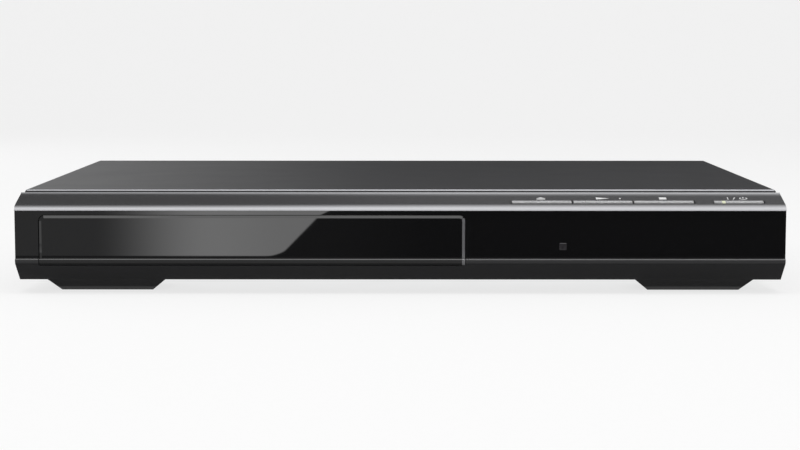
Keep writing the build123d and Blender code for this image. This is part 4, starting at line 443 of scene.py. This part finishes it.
# %% A thin piece from an outline on the ledge
FRONT_Y = CAD_BOX[0][1]
NOSE_Z = 36.5 * MM
LEDGE_RISE, LEDGE_DEPTH = 4.7, 16.2
LEDGE_SLOPE = LEDGE_RISE / LEDGE_DEPTH
INK = 0.04


def ledge_points(across, behind, above):
    """Points on the ledge: across and behind in millimetres, raised by above along the slope's normal."""
    normal = np.array((0.0, -LEDGE_SLOPE, 1.0)) / np.hypot(1.0, LEDGE_SLOPE)
    flat = np.stack((across * MM, FRONT_Y + behind * MM, NOSE_Z + LEDGE_SLOPE * behind * MM), axis=-1)
    return flat + np.asarray(above)[..., None] * MM * normal


def mesh_piece(name, points, faces, finish, body, smooth=False):
    """An object at the origin from its points and faces, riding on a body."""
    mesh = bpy.data.meshes.new(name)
    mesh.from_pydata(np.asarray(points).tolist(), [], faces)
    mesh.polygons.foreach_set("use_smooth", np.full(len(mesh.polygons), smooth))
    mesh.materials.append(finish)
    piece = bpy.data.objects.new(name, mesh)
    bpy.context.scene.collection.objects.link(piece)
    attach(piece, body)
    return piece


def plate_faces(count, start=0):
    """Sides and two caps of a prism whose rings of count points, anticlockwise from above, follow one another."""
    low = np.arange(count)
    after = (low + 1) % count
    sides = np.stack((low, after, after + count, low + count), axis=-1) + start
    return sides.tolist() + [(low[::-1] + start).tolist(), (low + count + start).tolist()]


def printed(name, outlines):
    """Each outline (across, behind) becomes a prism from just under the ledge to the ink's height."""
    points, faces = [], []
    for outline in outlines:
        across, behind = np.array(outline, dtype=float).T
        rings = [ledge_points(across, behind, np.full(len(across), above)) for above in (-INK, INK)]
        faces += plate_faces(len(across), sum(len(p) for p in points))
        points += rings
    return mesh_piece(name, np.concatenate(points), faces, ink, "case")


ink = new_finish("white_ink", (0.70, 0.70, 0.70), 0.5)
tint(ink, grain(ink, 0.3), (0.66, 0.66, 0.66), (0.74, 0.74, 0.74))
print("ledge rises", LEDGE_RISE, "mm")

# %% The signs themselves
def bar(x0, x1, y0, y1):
    """A rectangle, anticlockwise from above."""
    return [(x0, y0), (x1, y0), (x1, y1), (x0, y1)]


def ring_piece(x, y, radius_x, radius_y, line, start, stop, count=40):
    """An open ring: an outer arc from start to stop in degrees, and the inner arc back."""
    turn = np.radians(np.linspace(start, stop, count))
    outer = np.stack((x + radius_x * np.cos(turn), y + radius_y * np.sin(turn)), axis=-1)
    inner = np.stack((x + (radius_x - line) * np.cos(turn), y + (radius_y - line) * np.sin(turn)), axis=-1)
    return np.concatenate((outer, inner[::-1])).tolist()


SIGN_Y, SIGN_DEEP = 8.35, 2.2
SIGN_MID, SIGN_END = SIGN_Y + SIGN_DEEP / 2, SIGN_Y + SIGN_DEEP
eject_x, play_x, stop_x, power_x = 58.9, 84.7, 109.9, 143.6
printed("eject_sign", [[(eject_x - 1.8, SIGN_Y + 1.2), (eject_x + 1.8, SIGN_Y + 1.2), (eject_x, SIGN_END)],
                       bar(eject_x - 1.8, eject_x + 1.8, SIGN_Y, SIGN_Y + 0.75)])
printed("play_sign", [[(play_x - 2.7, SIGN_Y), (play_x + 2.7, SIGN_MID), (play_x - 2.7, SIGN_END)],
                      ring_piece(play_x + 7.3, SIGN_MID, 0.35, 0.5, 0.3, 0, 359)])
printed("stop_sign", [bar(stop_x - 1.5, stop_x + 1.5, SIGN_Y, SIGN_END)])
printed("power_sign", [bar(power_x - 6.7, power_x - 6.3, SIGN_Y, SIGN_END),
                       [(power_x - 4.6, SIGN_Y), (power_x - 4.2, SIGN_Y), (power_x - 3.2, SIGN_END),
                        (power_x - 3.6, SIGN_END)],
                       ring_piece(power_x, SIGN_MID, 1.7, 1.15, 0.4, 125, 415),
                       bar(power_x - 0.2, power_x + 0.2, SIGN_Y + 1.2, SIGN_Y + 2.6)])
print("printed four signs")

# %% [markdown]
# ## Rim of the ledge
# At its rear the ledge curls up to the cover, and the curl catches the light as a thin line. Bump could show
# it, but the mesh would stay flat, so it is a thin profile carried along the whole front.

# %% A curled profile carried along the front
RIM_START, RIM_END, RIM_RISE, RIM_ROOT = 9.0, 14.8, 0.56, 0.35
RIM_CURL, RIM_SUNK = 6.0, 0.005
RIM_HALF = CAD_BOX[1][0] / MM - 0.1


def rim_profile(count=33):
    """(behind, above): along the ledge from front to rear under its surface, then back over a curve whose
    height grows with the power RIM_CURL of the way from the front."""
    way = np.linspace(1, 0, count)
    behind = np.concatenate(([RIM_START, RIM_END], RIM_START + (RIM_END - RIM_START) * way))
    above = np.concatenate(([-RIM_ROOT, -RIM_ROOT], RIM_RISE * way ** RIM_CURL - RIM_SUNK))
    return behind, above


behind, above = rim_profile()
ends = [ledge_points(np.full(len(behind), side * RIM_HALF), behind, above) for side in (-1, 1)]
mesh_piece("ledge_rim", np.concatenate(ends), plate_faces(len(behind)), FINISHES["front_plastic"],
           "case")
print("rim", round(2 * RIM_HALF, 1), "mm long,", RIM_RISE, "mm high")

# %% [markdown]
# ## Screw heads
# The cover is held by pan-head screws with a cross recess. A solid would need many cuts; as a surface, a head
# is a height over a disc: a dome that falls to the rim, less a cross that deepens to the middle.

# %% A turned piece with an axis
def turned_faces(rows, columns, start=0):
    """Quads between rings of columns points, with a point at each pole: first the pole, the rings, the pole."""
    ring = np.arange(columns)
    after = (ring + 1) % columns
    first = start + 1
    lower = first + (np.arange(rows - 1)[:, None] * columns)
    upper = lower + columns
    quads = np.stack((lower + ring, upper + ring, upper + after, lower + after), axis=-1).reshape(-1, 4)
    last = first + (rows - 1) * columns
    near = np.stack((np.full(columns, start), first + ring, first + after), axis=-1)
    far = np.stack((np.full(columns, start + 1 + rows * columns), last + after, last + ring), axis=-1)
    return near.tolist() + quads.tolist() + far.tolist()


def set_on(points, seat, outward):
    """Points made round the z axis are turned so that z runs outward, and moved to the seat."""
    outward, up = np.array(outward, dtype=float), np.array((0.0, 0.0, 1.0))
    return np.array(seat) + points[:, :1] * np.cross(up, outward) + points[:, 1:2] * up + points[:, 2:] * outward


print("turning tools ready")

# %% Screw heads: a dome less a cross
HEAD_RADIUS, HEAD_HEIGHT, SHANK_RADIUS, SHANK_LENGTH = 2.8, 1.0, 1.5, 5.0
ARM_LENGTH, ARM_WIDTH, RECESS = 1.5, 0.42, 0.7
ARM_SIDE, ARM_END = 0.12, 0.5


def arm(along, across):
    """1 inside one arm of the cross, fading at its sides and at its ends."""
    within = np.clip((ARM_WIDTH - np.abs(across)) / ARM_SIDE, 0, 1)
    return within * np.clip((ARM_LENGTH - np.abs(along)) / ARM_END, 0, 1)


def screw_points(columns=48):
    """Rings from the crown to the rim, down to the seat and along the shank. The crown is a flat dome, less a
    cross: two arms that fade at their edges and get deeper to the middle."""
    turn = np.linspace(0, 2 * np.pi, columns, endpoint=False)
    crown = np.linspace(0.1, HEAD_RADIUS, 16)
    dome = HEAD_HEIGHT * np.sqrt(np.clip(1 - (crown / HEAD_RADIUS) ** 4, 0, 1))
    radius = np.concatenate((crown, [SHANK_RADIUS, SHANK_RADIUS, 0.3]))
    height = np.concatenate((dome, [0, -SHANK_LENGTH, -SHANK_LENGTH - 0.8]))
    x, y = radius[:, None] * np.cos(turn), radius[:, None] * np.sin(turn)
    on_crown = (np.arange(len(radius)) < len(crown))[:, None]
    z = height[:, None] - RECESS * np.maximum(arm(y, x), arm(x, y)) * on_crown
    rings = np.stack((x, y, np.broadcast_to(z, x.shape)), axis=-1).reshape(-1, 3)
    poles = np.array(((0, 0, z[0].min()), (0, 0, height[-1])))
    return np.concatenate((poles[:1], rings, poles[1:])) * MM, len(radius), columns


SIDE_SCREW_Y, SIDE_SCREW_Z = (-40.09, 59.08), 11.8
REAR_SCREW_X, REAR_SCREW_Z = (-120, 0, 120), 38.9
SOCKET_SCREW = (78.07, 97.5, 18.2)
high = np.array(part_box("cover_screws")[1])
side_x, rear_y = high[0] - HEAD_HEIGHT * MM, high[1] - HEAD_HEIGHT * MM
SEATS = [((side * side_x, y * MM, SIDE_SCREW_Z * MM), (side, 0, 0)) for side in (-1, 1) for y in SIDE_SCREW_Y]
SEATS += [((x * MM, rear_y, REAR_SCREW_Z * MM), (0, 1, 0)) for x in REAR_SCREW_X]
SEATS.append((tuple(value * MM for value in SOCKET_SCREW), (0, 1, 0)))
one, rows, columns = screw_points()
heads = np.concatenate([set_on(one, seat, outward) for seat, outward in SEATS])
faces = sum((turned_faces(rows, columns, start * len(one)) for start in range(len(SEATS))), [])
screws = mesh_piece("cover_screw_set", heads, faces, FINISHES["screw_steel"], "case", smooth=True)
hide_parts("cover_screws")
print("screws", len(SEATS), "heads out to", np.round(heads.max(axis=0) / MM, 2))

# %% [markdown]
# ## Floor, light and camera
# The photograph is a studio picture: a white sweep, a broad soft light from above, one from the left, and a
# low strip that the glossy front mirrors. The sweep could be a plane with a wall behind it, but a bent sheet
# has no line where they meet.

# %% Stage pieces as grids
def sheet_piece(name, points, finish):
    """A grid of points (rows, columns, 3) as a stage sheet."""
    rows, columns = points.shape[:2]
    corner = (np.arange(rows - 1)[:, None] * columns + np.arange(columns - 1)).ravel()
    faces = np.stack((corner, corner + 1, corner + columns + 1, corner + columns), axis=-1)
    mesh = bpy.data.meshes.new(name)
    mesh.from_pydata(points.reshape(-1, 3).tolist(), [], faces.tolist())
    mesh.polygons.foreach_set("use_smooth", np.ones(len(mesh.polygons), dtype=bool))
    mesh.materials.append(finish)
    sheet = bpy.data.objects.new(name, mesh)
    bpy.context.scene.collection.objects.link(sheet)
    return sheet


def sweep(width, front, back, rise, wall):
    """Profile along y: flat from front to back, then a quarter circle up and a wall, carried along x."""
    bend = np.linspace(0, np.pi / 2, 24)
    y = np.concatenate(([front], back + rise * np.sin(bend), [back + rise]))
    z = np.concatenate(([0.0], rise * (1 - np.cos(bend)), [rise + wall]))
    x = np.linspace(-width, width, 9)
    return np.stack(np.broadcast_arrays(x, y[:, None], z[:, None]), axis=-1)


paper = new_finish("white_paper", (0.88, 0.88, 0.88), 0.9, Specular_IOR_Level=0.0)
tint(paper, grain(paper, 3.0), (0.87, 0.87, 0.87), (0.89, 0.89, 0.89))
print("sweep", sheet_piece("floor", sweep(width=4.0, front=-4.0, back=1.2, rise=0.8, wall=2.0), paper).name)

# %% [markdown]
# The picture has a white ground on which the shadow is only faint. So rays from the camera, and those that a
# mirror or a lens sends on, see the paper mixed with plain white. From below it is clear, to show the feet.

# %% White ground with a faint shadow
WHITE_SHARE = 0.72
ray = add_node(paper, "ShaderNodeLightPath")
seen = reckon(paper, "ADD", ray.outputs["Is Camera Ray"], ray.outputs["Is Glossy Ray"])
seen = reckon(paper, "ADD", seen, ray.outputs["Is Transmission Ray"])
seen.node.use_clamp = True
share = reckon(paper, "MULTIPLY", seen, WHITE_SHARE)


def blend(amount, first, second):
    """A shader that runs from the first to the second with the amount."""
    mixer = add_node(paper, "ShaderNodeMixShader")
    for socket, source in zip(mixer.inputs, (amount, first, second)):
        wire(paper, source, socket)
    return mixer.outputs[0]


white = add_node(paper, "ShaderNodeEmission").outputs[0]
clear = add_node(paper, "ShaderNodeBsdfTransparent").outputs[0]
underside = add_node(paper, "ShaderNodeNewGeometry").outputs["Backfacing"]
pale = blend(share, paper.node_tree.nodes["Principled BSDF"].outputs[0], white)
wire(paper, blend(underside, pale, clear), paper.node_tree.nodes["Material Output"].inputs["Surface"])
print("ground: white share", WHITE_SHARE)

# %% [markdown]
# The gloss and the silver show what lies round them, so the studio has cards that only mirrored rays see. A
# dark card over the floor keeps the front black, and a low strip of light on it gives the slanting glare on
# the tray door. Behind and above, a bent card runs from dark at the floor to bright overhead.

# %% A card that only mirrored rays see
def mirror_card(name, points, glow):
    """A grid of points whose brightness at each point is the array glow."""
    paint = bpy.data.materials.new(name)
    paint.use_nodes = True
    paint.node_tree.nodes.remove(paint.node_tree.nodes["Principled BSDF"])
    lit = add_node(paint, "ShaderNodeEmission")
    stored = add_node(paint, "ShaderNodeAttribute", attribute_name="glow")
    wire(paint, stored.outputs["Fac"], lit.inputs["Strength"])
    wire(paint, lit.outputs["Emission"], paint.node_tree.nodes["Material Output"].inputs["Surface"])
    card = sheet_piece(name, points, paint)
    values = card.data.attributes.new("glow", "FLOAT", "POINT").data
    values.foreach_set("value", glow.ravel().astype(np.float32))
    card.visible_camera = card.visible_diffuse = card.visible_shadow = card.visible_transmission = False
    print(name, "brightness", round(float(glow.min()), 2), "to", round(float(glow.max()), 2))


print("mirror cards ready")

# %% Strip of light in front: where it lies
def ease(value, low, high):
    """0 below low, 1 above high, and a smooth curve between."""
    part = np.clip((value - low) / (high - low), 0, 1)
    return part * part * (3 - 2 * part)


VIEW_X, VIEW_DISTANCE, PANEL_Y = 0.003, 0.764, -0.105
EDGE_X, EDGE_Y, EDGE_SLANT = -0.0471, -0.434, 0.049
BEND_SLANT, BEND_REACH = 0.105, 0.06


def spread(y):
    """How far the mirrored view has opened out at y: 1 at the panel, more towards the viewer."""
    return 1 - (y - PANEL_Y) / VIEW_DISTANCE


def strip_edge(y):
    """The strip's right edge on the floor: a slanting line that bends outward at its far end."""
    bend = BEND_SLANT * np.clip(EDGE_Y - y, 0, BEND_REACH)
    return bend + EDGE_X - EDGE_SLANT * (y - EDGE_Y) - VIEW_X * (spread(y) - 1)


print("strip edge at x", np.round(strip_edge(np.array((-0.5, EDGE_Y, -0.25))) / MM, 1), "mm")

# %% [markdown]
# The floor that the front mirrors has four parts: dim floor, the strip, a grey near field for the lower lip,
# and a grey field past the panel's left end for the door's left bevel. One formula of the place gives them all.

# %% Strip of light in front: how bright it is
STRIP_NEAR, STRIP_SOFT, EDGE_SOFT = -0.226, 0.004, 0.001
CORNER_WIDE, CORNER_DEEP, CORNER_Y, CORNER_SOFT = 0.010, 0.034, -0.256, 0.15
STRIP_LEFT, STRIP_RISE, STRIP_FALL = 0.40, 3.1, 0.4
RISE_FROM, RISE_TO, FALL_TO = -0.128, -0.078, -0.045
LIP_GLOW, LIP_FAR, LIP_SOFT, LIP_NEAR = 0.65, -0.225, 0.02, -0.120
UNDER_GLOW, UNDER_FAR = 0.1235, -0.106
END_GLOW, END_FROM, END_TO, END_NEAR = 0.8, 0.166, 0.175, -0.2
DIM, DIM_LEFT, DIM_FALL, DIM_NEAR, DIM_SOFT = 0.03, 0.083, 0.055, -0.15, 0.05
FADE_FROM, FADE_TO = -0.035, 0.02


def strip_glow(x, y):
    """Brightness on the card: rises from left to right, stops at a nearly straight slanting edge, and has a
    rounded near corner. The floor close by, which the lower lip mirrors, is grey, and so is the floor past the
    panel's left end, which the door's left bevel mirrors. The rise follows u, the place on the panel where a
    viewer in front sees the point mirrored."""
    u = (x + VIEW_X * (spread(y) - 1)) / spread(y)
    rise = STRIP_LEFT + STRIP_RISE * ease(u, RISE_FROM, RISE_TO) - STRIP_FALL * ease(u, RISE_TO, FALL_TO)
    beyond = x - strip_edge(y)
    inside = np.clip(-beyond / EDGE_SOFT, 0, 1) * np.clip((STRIP_NEAR - y) / STRIP_SOFT, 0, 1)
    corner = np.hypot(np.maximum(beyond + CORNER_WIDE, 0) / CORNER_WIDE, np.maximum(y - CORNER_Y, 0) / CORNER_DEEP)
    rounded = np.clip((1.0 - corner) / CORNER_SOFT, 0, 1)
    under = np.clip((y - LIP_NEAR) / (UNDER_FAR - LIP_NEAR), 0, 1)
    near = np.clip((y - LIP_FAR) / LIP_SOFT, 0, 1) * (LIP_GLOW + (UNDER_GLOW - LIP_GLOW) * under)
    past_end = END_GLOW * ease(-u, END_FROM, END_TO) * (y < END_NEAR)
    away = np.clip((DIM_NEAR - y) / DIM_SOFT, 0, 1)
    dim = DIM + (DIM_LEFT - DIM_FALL * ease(u, FADE_FROM, FADE_TO)) * away
    return dim + rise * inside * rounded + near + past_end


from_edge, along = np.meshgrid(np.union1d(np.linspace(-0.5, 0.5, 201), np.linspace(-0.02, 0.004, 49)),
                               np.union1d(np.linspace(-0.9, -0.094, 203), np.linspace(-0.26, -0.2, 61)))
across = from_edge + strip_edge(along)
front_sheet = np.stack((across, along, np.full(across.shape, 0.0015)), axis=-1)
mirror_card("front_card", front_sheet, strip_glow(across, along))

# %% Bent card behind and overhead
BAND, BAND_FROM, BAND_SPAN, BAND_POWER = 6.0, 42, 70, 1.15
LATE_POWER, LATE_REACH = 1.9, 0.34
FRONT_FADE, FRONT_FROM, FRONT_TO = 0.85, 108, 148
LEFT_GLOW, LEFT_FROM, LEFT_SPAN, LEFT_POWER, LEFT_LOW, LEFT_HIGH = 0.50, 0.02, 0.4, 1.2, 18, 36
REAR_DARK, REAR_GLOW, REAR_FROM, REAR_TO = 0.03, 0.10, 24, 42


def tunnel_glow(x, angle):
    """Brightness by the angle from the rear floor over the top: dark behind, then a rise to the front of the
    zenith, later on the left, and a fade to the front. Low down it is paler on the left."""
    power = BAND_POWER + LATE_POWER * np.clip(-x / LATE_REACH, 0, 1)
    fade = 1 - FRONT_FADE * ease(angle, FRONT_FROM, FRONT_TO)
    band = np.clip((angle - BAND_FROM) / BAND_SPAN, 0, 1) ** power * fade
    left = np.clip((-x - LEFT_FROM) / LEFT_SPAN, 0, 1) ** LEFT_POWER * (1 - ease(angle, LEFT_LOW, LEFT_HIGH))
    return REAR_DARK + REAR_GLOW * ease(angle, REAR_FROM, REAR_TO) + LEFT_GLOW * left + BAND * band


CARD_RADIUS, CARD_Z = 1.3, 0.004
across, angle = np.meshgrid(np.linspace(-1.5, 1.5, 61), np.linspace(0, 148, 75))
turn = np.radians(angle)
bent_sheet = np.stack((across, CARD_RADIUS * np.cos(turn), CARD_Z + CARD_RADIUS * np.sin(turn)), axis=-1)
mirror_card("bent_card", bent_sheet, tunnel_glow(across, angle))

# %% [markdown]
# The lamps light what is matt. Broad soft boxes give the even light of a product picture; bare bulbs would throw
# hard shadows. The top and left boxes are hidden from mirrored rays, since the cards stand in for them there.

# %% Lamps
def softbox(name, location, target, size, power):
    """A rectangular lamp that points from location to target."""
    lamp = bpy.data.lights.new(name, "AREA")
    lamp.shape, lamp.size, lamp.size_y, lamp.energy = "RECTANGLE", *size, power
    box = bpy.data.objects.new(name, lamp)
    box.location = location
    aim = np.array(target) - np.array(location)
    yaw, pitch = np.arctan2(-aim[0], aim[1]), np.arctan2(aim[2], np.hypot(aim[0], aim[1]))
    box.rotation_euler = (pitch + np.pi / 2, 0, yaw)
    bpy.context.scene.collection.objects.link(box)
    return box


top = softbox("top_light", (0, -0.28, 1.3), (0, -0.05, 0), (2.0, 0.6), 8.5)
left = softbox("left_light", (-0.75, 0.75, 0.45), (-0.1, 0, 0.03), (0.5, 0.5), 1.2)
top.visible_glossy = left.visible_glossy = False
softbox("front_light", (0.1, -1.5, 0.85), (0, -0.1, 0.03), (1.6, 0.5), 6)

world = bpy.data.worlds.new("studio")
bpy.context.scene.world = world
world.use_nodes = True
sky = world.node_tree.nodes["Background"]
sky.inputs["Color"].default_value = (1, 1, 1, 1)
sky.inputs["Strength"].default_value = 0.5
print("three lamps and a pale sky")

# %% [markdown]
# The camera stands where a fit to the photograph's edges puts it, and looks at the middle of the front from a
# little above. Its focal length comes from the same fit, in pixels.

# %% Camera
FOCAL_PIXELS, IMAGE_WIDTH = 1851.62, 800
CAMERA_Y, CAMERA_Z, CAMERA_PITCH = -0.8688, 0.1055, 5.724
camera = bpy.data.objects.new("camera", bpy.data.cameras.new("camera"))
camera.data.sensor_width = 36.0
camera.data.lens = FOCAL_PIXELS / IMAGE_WIDTH * camera.data.sensor_width
camera.location = (VIEW_X, CAMERA_Y, CAMERA_Z)
camera.rotation_euler = (np.radians(90 - CAMERA_PITCH), 0, np.arctan2(VIEW_X, VIEW_DISTANCE))
bpy.context.scene.collection.objects.link(camera)
bpy.context.scene.camera = camera
bpy.context.scene.view_settings.view_transform = "Standard"
print("camera", round(camera.data.lens, 2), "mm lens")
